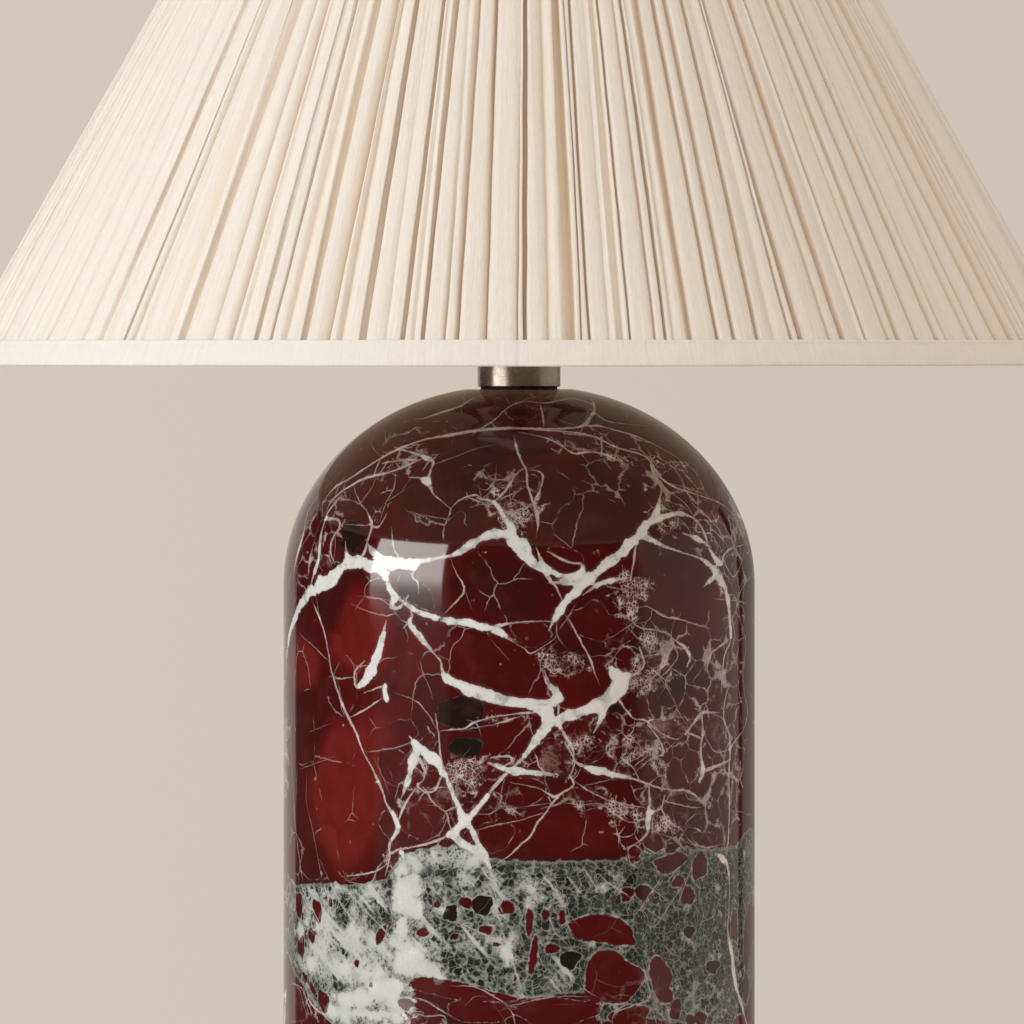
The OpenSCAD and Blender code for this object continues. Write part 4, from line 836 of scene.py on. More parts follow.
CLASTS_BED = [
    (110, 700, 16, 42, -25, 0.3), (155, 672, 8, 17, 0, 0.2), (322, 778, 14, 36, 30, 0.1), (240, 874, 11, 14, 0, 0.5), (50, 680, 13, 46, 0, 0.1), (56, 820, 14, 34, 0, 0.1),
    (92, 782, 13, 24, 20, 0.0), (82, 940, 34, 13, 32, 0.2), (132, 1000, 17, 42, -35, 0.2), (460, 773, 22, 14, 0, 0.4), (452, 734, 5, 6, 0, 0.6), (466, 742, 4, 5, 0, 0.6), (508, 680, 11, 13, 0, 0.2),
    (604, 672, 23, 19, 30, 0.0), (740, 690, 29, 24, -10, 0.2), (672, 762, 27, 14, 0, 0.2), (708, 812, 19, 9, 22, 0.2), (567, 788, 14, 11, 0, -0.5), (815, 735, 13, 46, 3, 0.4),
    (828, 850, 14, 66, 8, 0.3), (870, 712, 14, 17, 0, 0.2), (925, 722, 13, 28, -8, 0.2), (1062, 765, 118, 46, 13, 0.35), (890, 825, 23, 17, 0, 0.2), (1092, 925, 104, 82, 10, 0.35),
    (1250, 925, 33, 78, -10, 0.3), (1140, 645, 20, 28, 30, 0.0), (1285, 540, 58, 30, -8, 0.0), (1382, 552, 28, 44, 20, 0.0), (1310, 605, 24, 19, 0, 0.1), (1342, 650, 24, 34, 0, 0.0),
    (1496, 750, 13, 58, 0, 0.1), (658, 680, 37, 32, 0, -1.2), (553, 710, 27, 27, 0, -1.1), (1425, 885, 23, 23, 0, -1.5), (1345, 770, 18, 22, 0, -1.4), (578, 903, 14, 12, 0, -1.5),
    (570, 965, 165, 30, 9, 0.3), (650, 1035, 112, 40, 3, 0.25), (905, 1035, 148, 46, 0, 0.3), (1150, 1050, 70, 36, 0, 0.3), (475, 1022, 38, 23, 12, 0.25), (404, 1010, 26, 20, 10, 0.2),
    (450, 1064, 30, 13, 0, 0.2), (1300, 1030, 20, 34, 10, 0.1), (1272, 985, 22, 26, 0, 0.2), (1385, 1060, 20, 30, 0, 0.0), (1350, 1065, 16, 22, 0, 0.0), (1195, 640, 30, 26, 20, -0.5),
    (1160, 520, 22, 26, 0, 0.2), (288, 948, 6, 9, 0, 0.5), (300, 1000, 4, 7, 0, 0.6), (600, 742, 10, 6, 0, 0.4), (582, 745, 7, 5, 0, 0.4), (618, 748, 7, 5, 0, 0.4), (770, 920, 8, 12, 0, 0.4),
    (765, 945, 6, 8, 0, 0.4), (12, 900, 20, 60, 0, 0.1), (30, 1010, 40, 60, 0, 0.2), (1540, 800, 16, 90, 0, 0.1), (1535, 960, 14, 50, 0, 0.0), (950, 862, 34, 28, 0, -1.6),
]

# zones of small pebbles in pale cement, and of fine sponge: x, y, half width, half height, strength
NETS_UP = [(1045, 222, 76, 30, 1.0), (430, 265, 70, 26, 0.9), (150, 500, 46, 110, 0.7), (740, 350, 70, 50, 0.7), (1250, 440, 60, 50, 0.8), (1400, 480, 70, 70, 0.7), (1230, 920, 100, 80, 0.9),
           (1130, 840, 90, 60, 0.6), (1460, 640, 40, 160, 0.5), (70, 560, 30, 90, 0.5), (330, 400, 40, 60, 0.4), (1300, 300, 90, 50, 0.6), (1450, 900, 60, 90, 0.5)]
NETS_LOW = [(1180, 130, 110, 70, 0.9), (1230, 380, 110, 70, 0.8), (1380, 420, 90, 70, 0.7), (1400, 60, 90, 60, 0.6), (1150, 460, 60, 50, 0.7), (700, 350, 60, 60, 0.5), (420, 330, 60, 60, 0.5),
            (1500, 300, 30, 160, 0.5), (100, 1000, 80, 60, 0.7), (260, 590, 70, 20, 0.6), (1380, 1040, 110, 50, 0.7), (850, 215, 70, 40, 0.6), (1450, 200, 50, 60, 0.5)]
SPONGE_UP = [(1145, 690, 44, 58, 1.0), (918, 922, 60, 36, 1.0), (770, 440, 52, 52, 0.85), (1190, 985, 80, 60, 0.8), (1040, 712, 18, 22, 0.8), (1215, 880, 50, 36, 0.7), (1100, 250, 60, 20, 0.5),
             (740, 350, 50, 34, 0.45), (1270, 470, 40, 30, 0.5)]
SPONGE_LOW = [(590, 245, 66, 56, 1.0), (575, 310, 48, 40, 0.9), (720, 66, 62, 16, 0.7), (895, 205, 52, 42, 0.85), (1010, 130, 60, 30, 0.7), (1180, 160, 60, 36, 0.8), (1280, 90, 60, 24, 0.7),
              (1060, 345, 100, 20, 0.75), (1270, 420, 60, 40, 0.7), (760, 205, 60, 18, 0.7), (1160, 515, 20, 26, 0.7), (690, 345, 40, 22, 0.55), (370, 545, 36, 34, 0.7), (1120, 370, 50, 24, 0.7)]

# pale ground in the green bed
PALES = [(530, 515, 120, 34, 1.0), (430, 530, 50, 40, 0.9), (620, 590, 50, 40, 0.8), (690, 640, 40, 90, 0.7), (830, 600, 70, 50, 0.6), (110, 690, 60, 90, 1.0), (180, 860, 160, 90, 1.0),
         (300, 640, 50, 40, 0.6), (480, 800, 50, 60, 0.8), (640, 800, 60, 30, 0.7), (500, 640, 40, 40, 0.5), (860, 650, 120, 30, 0.45), (1060, 600, 60, 60, 0.5), (1400, 830, 60, 60, 0.4),
         (760, 1010, 80, 30, 0.6), (930, 900, 40, 40, 0.5)]

# soft white bodies in the green bed
SNOW = [(400, 647, 44, 68, 1.0), (452, 695, 28, 48, 0.8), (392, 765, 30, 60, 0.7), (414, 862, 52, 68, 1.0), (300, 912, 48, 28, 0.9), (330, 955, 68, 44, 1.0), (235, 992, 76, 36, 0.95),
        (385, 1012, 48, 32, 0.9), (170, 1035, 48, 28, 0.9), (300, 1045, 95, 28, 0.85), (95, 872, 27, 21, 0.9), (55, 767, 19, 25, 0.8), (502, 905, 21, 32, 0.8), (600, 592, 15, 26, 0.75),
        (800, 620, 32, 18, 0.7), (742, 838, 13, 34, 0.9), (205, 900, 52, 42, 0.62), (130, 775, 42, 62, 0.55), (240, 765, 42, 52, 0.55), (352, 840, 24, 60, 0.6), (470, 545, 70, 20, 0.5),
        (640, 505, 26, 50, 0.62), (230, 640, 50, 30, 0.5), (700, 700, 14, 50, 0.6), (520, 700, 40, 16, 0.5), (655, 790, 30, 16, 0.5), (870, 660, 60, 14, 0.5), (1090, 615, 40, 20, 0.5),
        (330, 1100, 90, 24, 0.8), (400, 570, 26, 22, 0.7)]
# ovals of red in netting: closed outlines side by side
RINGS_UP = [(1215, 885, 150, 130, 1.0), (1490, 700, 40, 260, 0.8), (1085, 215, 170, 75, 1.0), (1310, 370, 105, 95, 0.9), (735, 370, 135, 95, 0.8), (420, 265, 90, 50, 0.8), (140, 480, 72, 115, 0.9),
            (60, 620, 40, 120, 0.7), (1400, 940, 90, 90, 0.8)]
RINGS_LOW = [(1120, 150, 190, 115, 1.0), (1340, 250, 170, 280, 1.0), (465, 300, 90, 190, 0.7), (760, 335, 130, 70, 0.55), (1010, 330, 140, 50, 0.6), (240, 590, 90, 22, 0.7), (110, 1000, 90, 70, 0.7),
             (1330, 1000, 180, 110, 0.8), (1500, 120, 40, 330, 0.7)]

# the green bed's top edge on the lower sheet
BED_TOP = [(0, 612), (60, 612), (140, 605), (200, 610), (290, 604), (345, 585), (366, 540), (400, 508), (450, 494), (540, 484), (600, 470), (650, 500), (668, 528), (760, 532), (940, 532),
           (1060, 534), (1112, 528), (1180, 500), (1240, 482), (1300, 480), (1380, 494), (1450, 490), (1490, 486), (1530, 450), (1568, 420)]
BED_LOW = [(0, 930), (60, 940), (150, 1075), (380, 1100), (410, 975), (470, 950), (600, 960), (700, 985), (780, 1000), (880, 985), (1000, 975), (1040, 1070), (1200, 1060), (1290, 1075), (1568, 1120)]


def as_mm(pts, sheet):
    return smooth_path([(cast(u, v), w * PX) for u, v, w in sheet(pts)])


for sheet, veins, hairs in ((upper, VEINS_UP, HAIRS_UP), (lower, VEINS_LOW, HAIRS_LOW)):
    for pts in veins:
        slim = 0.80 if min(q[0] for q in pts) > 250 else 1.0
        path = [(p, w * slim) for p, w in as_mm(pts, sheet)]
        draw_vein([q for q in path if q[1] > 1.3])
        draw_slim(path)
    for pts in hairs:
        draw_hair(as_mm(pts, sheet))


def wander(rnd, angle, z, heading, length, width, turn, step=9.0, taper=True):
    """A wandering line in (degrees, mm), heading in degrees above the horizontal."""
    pts = []
    n = max(3, int(length / step))
    for i in range(n + 1):
        k = i / n
        w = width * (math.sin(math.pi * min(1.0, 0.06 + 0.94 * k) ** 0.8) ** 0.7 if taper else 1.0) * rnd.uniform(0.5, 1.5)
        pts.append((on_body(angle, max(3.0, min(308.0, z))), max(0.2, w)))
        r = max(20.0, body_radius(min(305.0, max(3.0, z))))
        angle += math.degrees(math.cos(math.radians(heading)) * step / r)
        z += math.sin(math.radians(heading)) * step
        heading += rnd.uniform(-turn, turn)
        if z > 306 or z < 1:
            break
    return pts


def unseen(pts):
    """The longest run of points that the picture doesn't show."""
    runs, cur = [], []
    for p in pts:
        a = math.degrees(math.atan2(p[0].x, -p[0].y))
        if abs(a) < 77 and p[0].z > 97:
            runs.append(cur)
            cur = []
        else:
            cur.append(p)
    runs.append(cur)
    return max(runs, key=len)


rnd = random.Random(4117)
more_nets, more_clasts = [], []
# the part of the stone that the picture leaves out gets veins of the same kinds
for k in range(74):
    a0 = rnd.uniform(78, 282)
    z0 = rnd.uniform(6, 300)
    if k % 4 == 0:
        a0, z0 = rnd.uniform(-85, 85), rnd.uniform(5, 92)
    head = rnd.choice([1, -1]) * rnd.uniform(15, 75) + (180 if rnd.random() < 0.5 else 0)
    wide = rnd.uniform(2.0, 5.2) if k % 2 else rnd.uniform(0.9, 2.0)
    pts = unseen(wander(rnd, a0, z0, head, rnd.uniform(35, 110), wide, 34))
    if len(pts) < 3:
        continue
    draw_vein(smooth_path(pts, 1.0))
    for _ in range(3):
        q = pts[rnd.randrange(len(pts))][0]
        qa = math.degrees(math.atan2(q.x, -q.y))
        side = unseen(wander(rnd, qa, q.z, head + rnd.choice([-1, 1]) * rnd.uniform(40, 90), rnd.uniform(14, 45), wide * 0.5, 30, 6.0))
        if len(side) > 2:
            draw_vein(smooth_path(side, 1.0))
    more_nets.append((q, rnd.uniform(6, 15), rnd.uniform(0.6, 1.0), rnd.random() < 0.45))
for k in range(120):
    a0, z0 = rnd.uniform(76, 284), rnd.uniform(4, 306)
    if k % 5 == 0:
        a0, z0 = rnd.uniform(-82, 82), rnd.uniform(5, 92)
    pts = unseen(wander(rnd, a0, z0, rnd.uniform(0, 360), rnd.uniform(22, 80), rnd.uniform(0.5, 1.0), 26, 7.0))
    if len(pts) > 2:
        draw_hair(smooth_path(pts))
for k in range(60):
    a0, z0 = rnd.uniform(82, 278), rnd.uniform(10, 300)
    if k % 4 == 0:
        a0, z0 = rnd.uniform(-75, 75), rnd.uniform(8, 88)
    more_clasts.append((on_body(a0, z0), rnd.uniform(5, 20), rnd.uniform(4, 13), rnd.uniform(-40, 40), rnd.choice([-1.2, -0.8, -0.3, 0.1, 0.3, 0.5, 0.7])))



shape = random.Random(515)


def egg(p, rx, ry, turn):
    """Signed distance in millimetres to an uneven ellipse lying on the stone at p, negative inside."""
    h = math.hypot(p.x, p.y) or 1.0
    side = np.array((-p.y / h, p.x / h, 0.0))
    nrm = np.array(Vector((p.x, p.y, 0.0 if p.z < DOME_Z else (p.z - DOME_Z) * 1.2)).normalized())
    up = np.cross(nrm, side)
    if up[2] < 0:
        up = -up
    d = GRID - np.array(p)
    x, y = d @ side, d @ up
    c, s = math.cos(math.radians(turn)), math.sin(math.radians(turn))
    a, b = x * c - y * s, x * s + y * c
    th = np.arctan2(b / ry, a / rx)
    uneven = sum(k * np.sin(m * th + shape.uniform(0, 6.283)) for m, k in ((2, 0.06), (3, 0.09), (4, 0.05), (5, 0.04), (7, 0.02)))
    f = np.sqrt((a / rx) ** 2 + (b / ry) ** 2) * (1 + uneven)
    g = np.sqrt((a / rx ** 2) ** 2 + (b / ry ** 2) ** 2)
    out = np.where(f > 1e-4, (f - 1) * f / np.maximum(g, 1e-6), -min(rx, ry))
    far = (d ** 2).sum(-1) > (3.0 * max(rx, ry) + 10) ** 2
    out[far] = FAR
    return np.maximum(out, -min(rx, ry))


def placed(sheet, x, y, rx, ry):
    u, v = sheet([(x, y)])[0][:2]
    k = 3.2667 if sheet is upper else 3.322
    p = cast(u, v)
    face = max(0.3, -p.y / max(20.0, math.hypot(p.x, p.y)))
    lean = 1.0
    if p.z > DOME_Z:
        lean = max(0.25, math.hypot(p.x, p.y) / BODY_R)
    return p, rx / k * PX / face, ry / k * PX / lean


net = np.zeros((ROWS, COLS))
sponge = np.zeros((ROWS, COLS))
tint = np.zeros((ROWS, COLS))
pale = np.zeros((ROWS, COLS))
snow = np.zeros((ROWS, COLS))
rings = np.zeros((ROWS, COLS))
clast = np.full((ROWS, COLS), FAR)
clast_tone = np.zeros((ROWS, COLS))

for sheet, zones, field, soft in ((upper, NETS_UP, net, 5.0), (lower, NETS_LOW, net, 5.0), (upper, SPONGE_UP, sponge, 8.5), (lower, SPONGE_LOW, sponge, 8.5), (lower, PALES, pale, 5.0),
                                  (lower, SNOW, snow, 7.0), (upper, RINGS_UP, rings, 8.0), (lower, RINGS_LOW, rings, 8.0)):
    for x, y, rx, ry, k in zones:
        p, a, b = placed(sheet, x, y, rx, ry)
        d = egg(p, a, b, 0.0)
        field[...] = np.maximum(field, k * np.clip(0.5 - d / soft, 0, 1))
for q, r, k, fine in more_nets:
    d = egg(q, r * rnd.uniform(0.8, 1.6), r, rnd.uniform(-40, 40))
    field = sponge if fine else net
    field[...] = np.maximum(field, k * np.clip(0.5 - d / 5.0, 0, 1))
    rings[...] = np.maximum(rings, k * np.clip(0.5 - (d - 5.0) / 8.0, 0, 1))


def add_clast(p, rx, ry, turn, value):
    d = egg(p, rx, ry, turn)
    if max(rx, ry) > 8.5 and value > -0.9 and p.z > 150.0:
        soft = 0.35 * max(rx, ry)                  # the large ones only tint the ground, with no outline
        tint[...] += value * np.clip(0.5 - d / soft, 0, 1)
        return
    m = d < clast
    clast_tone[m] = value
    clast[...] = np.minimum(clast, d)


for sheet, rows_ in ((upper, CLASTS_UP), (lower, CLASTS_LOW), (lower, CLASTS_BED)):
    for x, y, rx, ry, turn, value in rows_:
        p, a, b = placed(sheet, x, y, rx, ry)
        add_clast(p, a, b, turn, value)
for p, a, b, turn, value in more_clasts:
    add_clast(p, a, b, turn, value)

# the green bed as a signed field in millimetres, positive inside; it runs round the whole stone
A = (ANG + math.pi) % (2 * math.pi) - math.pi
even = np.arange(721) * math.pi / 360


def ring(seed, waves, amp):
    w = periodic(seed, 720, waves, amp)
    return np.interp(ANG % (2 * math.pi), even, np.r_[w, w[0]])


def edge_of(pts):
    e = sorted((math.atan2(p.x, -p.y), p.z) for p in (cast(*lower([q])[0][:2]) for q in pts))
    return np.interp(A, [q[0] for q in e], [q[1] for q in e])


mask = np.clip((np.abs(A) - 1.15) / 0.35, 0, 1)
net *= 1.0 - 0.6 * np.clip(rings, 0, 1)
pale -= (0.42 * np.clip((A - 0.12) / 0.5, 0, 1) * np.clip((1.5 - A) / 0.3, 0, 1))[None, :]
bed_top = edge_of(BED_TOP) * (1 - mask) + (150.0 + ring(23, (2, 9), 15.0)) * mask
bed_low = edge_of(BED_LOW) * (1 - mask) + (112.0 + ring(31, (2, 8), 10.0)) * mask
bed2_top = 66.0 + ring(37, (2, 7), 13.0)
bed2_low = 44.0 + ring(41, (2, 7), 10.0)
green = np.minimum(bed_top[None, :] - GZ, GZ - bed_low[None, :])
green = np.maximum(green, np.minimum(bed2_top[None, :] - GZ, GZ - bed2_low[None, :]))
for k in range(90):
    if k % 3 == 0:
        p = on_body(rnd.uniform(-76, 76), rnd.uniform(44, 70))
    elif k % 3 == 1:
        p = on_body(rnd.uniform(80, 280), rnd.uniform(44, 70))
    else:
        p = on_body(rnd.uniform(80, 280), rnd.uniform(108, 150))
    s = rnd.uniform(1.5, 8.0)
    add_clast(p, s * rnd.uniform(1.0, 2.2), s, rnd.uniform(-30, 30), rnd.choice([0.1, 0.2, 0.3, 0.4, 0.3, -1.2, -1.6]))
for k in range(40):
    a0 = rnd.uniform(80, 280) if k % 3 else rnd.uniform(-78, 78)
    z0 = rnd.uniform(112, 150) if k % 3 else rnd.uniform(44, 68)
    draw_at = unseen(wander(rnd, a0, z0, rnd.uniform(-60, 60), rnd.uniform(8, 26), rnd.uniform(2, 7), 40, 4.0))
    if len(draw_at) > 2:
        draw_vein(smooth_path(draw_at, 1.0))
vein = np.where(melt > 1e-9, -np.log(np.maximum(melt, 1e-9)) / BLEND, FAR)
vein_w = np.where(melt > 1e-9, melt_w / np.maximum(melt, 1e-9), 0.0)
green = np.clip(green, -FAR, FAR)


# the stone itself: one closed turned shell, with the hollow, the plate's recess and the pipe hole
inner = [(5.4, 238.0), (60.0, 238.0), (60.0, 26.0), (69.0, 26.0), (69.0, FOOT_Z), (81.8, FOOT_Z)]
nin = len(inner)
verts = np.vstack([GRID.reshape(-1, 3)] + [np.stack([r * np.sin(ANG), -r * np.cos(ANG), np.full(COLS, z)], 1) for r, z in inner])
faces = grid_faces(ROWS + nin, COLS)
last = (ROWS + nin - 1) * COLS
c = np.arange(COLS)
c2 = (c + 1) % COLS
faces = np.vstack([faces, np.stack([last + c, last + c2, c2, c], 1)])
stone = mesh_object("marble_stone", verts * MM, faces.tolist())

# the way for the gland through the back wall, with its counterbore
cut = lathe("gland_cutter", [(0, 60), (5.1, 60), (5.1, 79.8), (7.8, 79.8), (7.8, 95), (0, 95)], 64, None, angle=None)
for v in cut.data.vertices:
    x, y, z = v.co
    v.co = (x, z, 0.013 + y)
cut.data.update()
for o in (cut, stone):
    bm = bmesh.new()
    bm.from_mesh(o.data)
    bmesh.ops.recalc_face_normals(bm, faces=bm.faces)
    bm.to_mesh(o.data)
    bm.free()
mod = stone.modifiers.new("gland_way", "BOOLEAN")
mod.operation, mod.solver, mod.object = "DIFFERENCE", "EXACT", cut
deps = bpy.context.evaluated_depsgraph_get()
bored = bpy.data.meshes.new_from_object(stone.evaluated_get(deps))
stone.modifiers.clear()
stone.data = bored
bpy.data.objects.remove(cut)
bored.polygons.foreach_set("use_smooth", [True] * len(bored.polygons))
bored.set_sharp_from_angle(angle=math.radians(28))

co = np.zeros(len(bored.vertices) * 3, np.float32)
bored.vertices.foreach_get("co", co)
co = co.reshape(-1, 3) * 1000.0
rad = np.hypot(co[:, 0], co[:, 1])
# rows run up the outside and then in across the spot face
arc_rows = np.r_[0, np.cumsum(np.hypot(*np.diff(PROF, axis=0).T))]
on_top = co[:, 2] > SEAT_Z - 0.02
arc_v = np.interp(co[:, 2], row_z, arc_rows[:SIDE])
arc_v = np.where(on_top, arc_rows[SIDE - 1] + (SPOT_R - rad), arc_v)
fr = np.interp(arc_v, arc_rows, np.arange(ROWS))
turn_v = (np.arctan2(co[:, 0], -co[:, 1]) - ANG[0]) % (2 * math.pi) + ANG[0]
fc = np.interp(turn_v, np.r_[ANG, ANG[0] + 2 * math.pi], np.arange(COLS + 1))
outside = (rad > np.interp(co[:, 2], row_z, PROF[:SIDE, 0]) - 0.6) | on_top


def sample(field):
    r0 = np.clip(np.floor(fr + 1e-4).astype(int), 0, ROWS - 2)
    c0 = np.floor(fc + 1e-3).astype(int)
    tr, tcn = np.clip(fr - r0, 0, 1), np.clip(fc - c0, 0, 1)
    c0, c1 = c0 % COLS, (c0 + 1) % COLS
    return (field[r0, c0] * (1 - tr) * (1 - tcn) + field[r0, c1] * (1 - tr) * tcn
            + field[r0 + 1, c0] * tr * (1 - tcn) + field[r0 + 1, c1] * tr * tcn)


for name, field, off in (("vein", vein, FAR), ("vein_w", vein_w, 0.0), ("net", net, 0.0), ("sponge", sponge, 0.0), ("bed", green, -FAR),
                         ("clast", clast, FAR), ("clast_tone", clast_tone, 0.0), ("tint", tint, 0.0), ("pale", pale, 0.0), ("snow", snow, 0.0),
                         ("rings", rings, 0.0)):
    put_attr(stone, name, np.where(outside, sample(field), off))
for i, L in enumerate(hair):
    vals = np.stack([np.clip(sample(L["s"]), -FAR, FAR), sample(L["u"]), sample(L["w"])], 1)
    vals[~outside] = (FAR, FAR, 0.0)
    put_attr(stone, f"line{i}", vals, "FLOAT_VECTOR")


def marble_material():
    m, t = material("marble")
    p = t.mm()

    def centred(v, amp):
        return t.vmath("MULTIPLY", t.vmath("SUBTRACT", v, (0.5, 0.5, 0.5)), (amp, amp, amp))

    def grey(v):
        return t.vmath("DOT_PRODUCT", v, (0.34, 0.33, 0.33))

    def wobble(x, amp):
        return t.math("MULTIPLY", t.math("SUBTRACT", x, 0.5), amp)

    slow = centred(t.noise(p, 0.050, 2.0, 0.5, out=1), 11.0)
    quick = centred(t.noise(p, 0.32, 2.0, 0.55, out=1), 1.9)
    q = t.vmath("ADD", p, t.vmath("ADD", slow, quick))
    q2 = t.vmath("ADD", p, quick)
    fine = t.noise(p, 0.9, 4.0, 0.6)
    mid = t.noise(p, 0.17, 3.0, 0.55)
    big = t.noise(p, 0.035, 2.0, 0.5)
    jag = t.noise(p, 0.50, 3.0, 0.6)

    # red clasts: every cell of the breccia has its own tone
    cell = t.math("SUBTRACT", grey(t.voronoi(q, 0.046, "F1", "Color")), 0.5)
    dc = t.math("ADD", t.attr("clast"), t.math("ADD", wobble(jag, 1.1), wobble(mid, 1.2)))
    in_clast = t.step(dc, 0.12, -0.12)
    k = t.math("ADD", t.math("MULTIPLY", cell, 0.7), t.math("MULTIPLY", t.math("SUBTRACT", big, 0.5), 0.8))
    k = t.math("ADD", k, t.attr("tint"))
    own = t.attr("clast_tone")
    k = t.add("ShaderNodeMix", dict(data_type="FLOAT"), i0=in_clast, i2=k, i3=own).outputs[0]
    k = t.math("ADD", k, t.math("ADD", wobble(mid, 0.55), wobble(fine, 0.35)))
    red = t.ramp(t.lin(k, -1.6, 1.2),
                 [(0.0, srgb(27, 28, 23)), (0.22, srgb(38, 23, 19)), (0.42, srgb(58, 21, 17)), (0.58, srgb(72, 17, 15)), (0.75, srgb(90, 20, 19)), (1.0, srgb(118, 35, 32))])
    smoke = t.step(t.noise(q, 0.10, 4.0, 0.62), 0.50, 0.72, 0.0, 0.30)
    red = t.mix(smoke, red, srgb(96, 46, 42))
    red = t.mix(t.step(fine, 0.58, 0.80, 0.0, 0.35), red, srgb(42, 12, 15))
    dust = t.math("MULTIPLY", t.step(t.voronoi(p, 0.8), 0.085, 0.04), t.step(mid, 0.55, 0.66))
    red = t.mix(t.math("MULTIPLY", dust, 0.5), red, srgb(170, 128, 120))

    # zones of pebbles in pale cement
    netm = t.step(t.math("ADD", t.attr("net"), wobble(mid, 0.9)), 0.34, 0.52)
    e_a = t.voronoi(q2, 0.20, "DISTANCE_TO_EDGE")
    f_a = t.voronoi(q2, 0.20)
    t_a = t.math("SUBTRACT", grey(t.voronoi(q2, 0.20, "F1", "Color")), 0.5)
    wide = t.lin(jag, 0.42, 0.72, 0.0, 0.045)
    cement = t.math("MAXIMUM", t.step(t.math("SUBTRACT", e_a, wide), 0.024, -0.006, 0.0, 0.75), t.step(f_a, 0.76, 0.88, 0.0, 0.85))
    cement = t.math("MULTIPLY", cement, netm)
    ringm = t.step(t.math("ADD", t.attr("rings"), wobble(mid, 0.8)), 0.36, 0.50)
    q4 = t.vmath("ADD", p, t.vmath("ADD", centred(t.noise(p, 0.10, 2.0, 0.5, out=1), 5.5), centred(t.noise(p, 0.42, 2.0, 0.5, out=1), 1.2)))
    e_r = t.voronoi(q4, 0.118, "DISTANCE_TO_EDGE")
    f_r = t.voronoi(q4, 0.118)
    wide_r = t.lin(t.noise(p, 0.21, 3.0, 0.6), 0.46, 0.72, 0.0, 0.050)
    outline = t.math("MAXIMUM", t.step(t.math("SUBTRACT", e_r, wide_r), 0.017, -0.003, 0.0, 0.72), t.step(f_r, 0.80, 0.90, 0.0, 0.85))
    outline = t.math("MULTIPLY", outline, t.math("MULTIPLY", ringm, t.lin(fine, 0.3, 0.62, 0.35, 0.95)))
    between = t.math("MULTIPLY", t.step(t.math("SUBTRACT", e_r, t.math("MULTIPLY", wide_r, 1.6)), 0.085, 0.03), t.step(t.noise(p, 0.11, 2.0, 0.5), 0.48, 0.60))
    between = t.math("MULTIPLY", between, ringm)
    pebble = t.ramp(t.lin(t_a, -0.3, 0.3), [(0.0, srgb(48, 20, 18)), (0.5, srgb(84, 20, 24)), (1.0, srgb(108, 30, 32))])
    red = t.mix(t.math("MULTIPLY", t.math("MULTIPLY", netm, 0.6), t.math("SUBTRACT", 1.0, in_clast)), red, pebble)

    # sponge: red specks in fine pink-grey threads
    spm = t.step(t.math("ADD", t.attr("sponge"), t.math("ADD", wobble(jag, 1.1), wobble(mid, 2.2))), 0.32, 0.66)
    spm = t.math("MULTIPLY", spm, t.step(t.attr("sponge"), 0.03, 0.20))
    spm = t.math("MAXIMUM", spm, t.math("MULTIPLY", between, 0.85))
    red = t.mix(t.math("MULTIPLY", spm, t.lin(mid, 0.3, 0.7, 0.18, 0.42)), red, srgb(136, 98, 92))
    e_b = t.voronoi(t.vmath("ADD", p, centred(t.noise(p, 0.8, 2.0, 0.5, out=1), 1.3)), 0.82, "DISTANCE_TO_EDGE")
    body_ = t.lin(t.noise(p, 0.45, 3.0, 0.6), 0.36, 0.68, 0.015, 0.17)
    threads = t.step(t.math("SUBTRACT", e_b, body_), 0.045, -0.03)
    threads = t.math("MULTIPLY", t.math("MULTIPLY", threads, spm), t.lin(mid, 0.3, 0.65, 0.50, 0.92))

    # hairline cracks between clasts, few and broken
    c1 = t.voronoi(q, 0.046, "DISTANCE_TO_EDGE")
    crack = t.math("MULTIPLY", t.step(c1, 0.012, 0.002), t.step(t.noise(p, 0.07, 2.0, 0.5), 0.48, 0.60, 0.0, 0.46))
    lines = t.math("MULTIPLY", crack, t.math("SUBTRACT", 1.0, t.math("MULTIPLY", in_clast, 0.75)))
    edge = t.math("MULTIPLY", t.step(t.math("ABSOLUTE", dc), 0.34, 0.10), t.math("MAXIMUM", t.math("MULTIPLY", netm, 0.9), t.step(jag, 0.48, 0.62, 0.04, 0.36)))
    edge = t.math("MULTIPLY", edge, t.step(own, -1.0, -0.7, 0.15, 1.0))
    lines = t.math("MAXIMUM", lines, edge)
    lines = t.math("MAXIMUM", lines, t.math("MULTIPLY", cement, t.math("SUBTRACT", 1.0, t.math("MULTIPLY", in_clast, 0.85))))
    lines = t.math("MAXIMUM", lines, t.math("MULTIPLY", outline, t.math("SUBTRACT", 1.0, t.math("MULTIPLY", in_clast, 0.9))))
    lines = t.math("MAXIMUM", lines, t.math("MULTIPLY", threads, t.math("SUBTRACT", 1.0, t.math("MULTIPLY", in_clast, 0.8))))

    # listed thin lines
    for i in range(LAYERS):
        sep = t.add("ShaderNodeSeparateXYZ", i0=t.attr(f"line{i}", "Vector"))
        s, u, w = sep.outputs
        across = t.math("ABSOLUTE", t.math("ADD", s, wobble(jag, 0.9)))
        half = t.math("MULTIPLY", t.math("MULTIPLY", w, 0.5), t.lin(mid, 0.25, 0.75, 0.55, 1.5))
        ln = t.math("MULTIPLY", t.step(t.math("SUBTRACT", across, half), 0.13, -0.13), t.step(u, 2.0, 1.1))
        lines = t.math("MAXIMUM", lines, t.math("MULTIPLY", ln, t.math("MULTIPLY", t.step(w, 0.1, 0.7, 0.45, 0.95), t.lin(jag, 0.3, 0.6, 0.7, 1.0))))

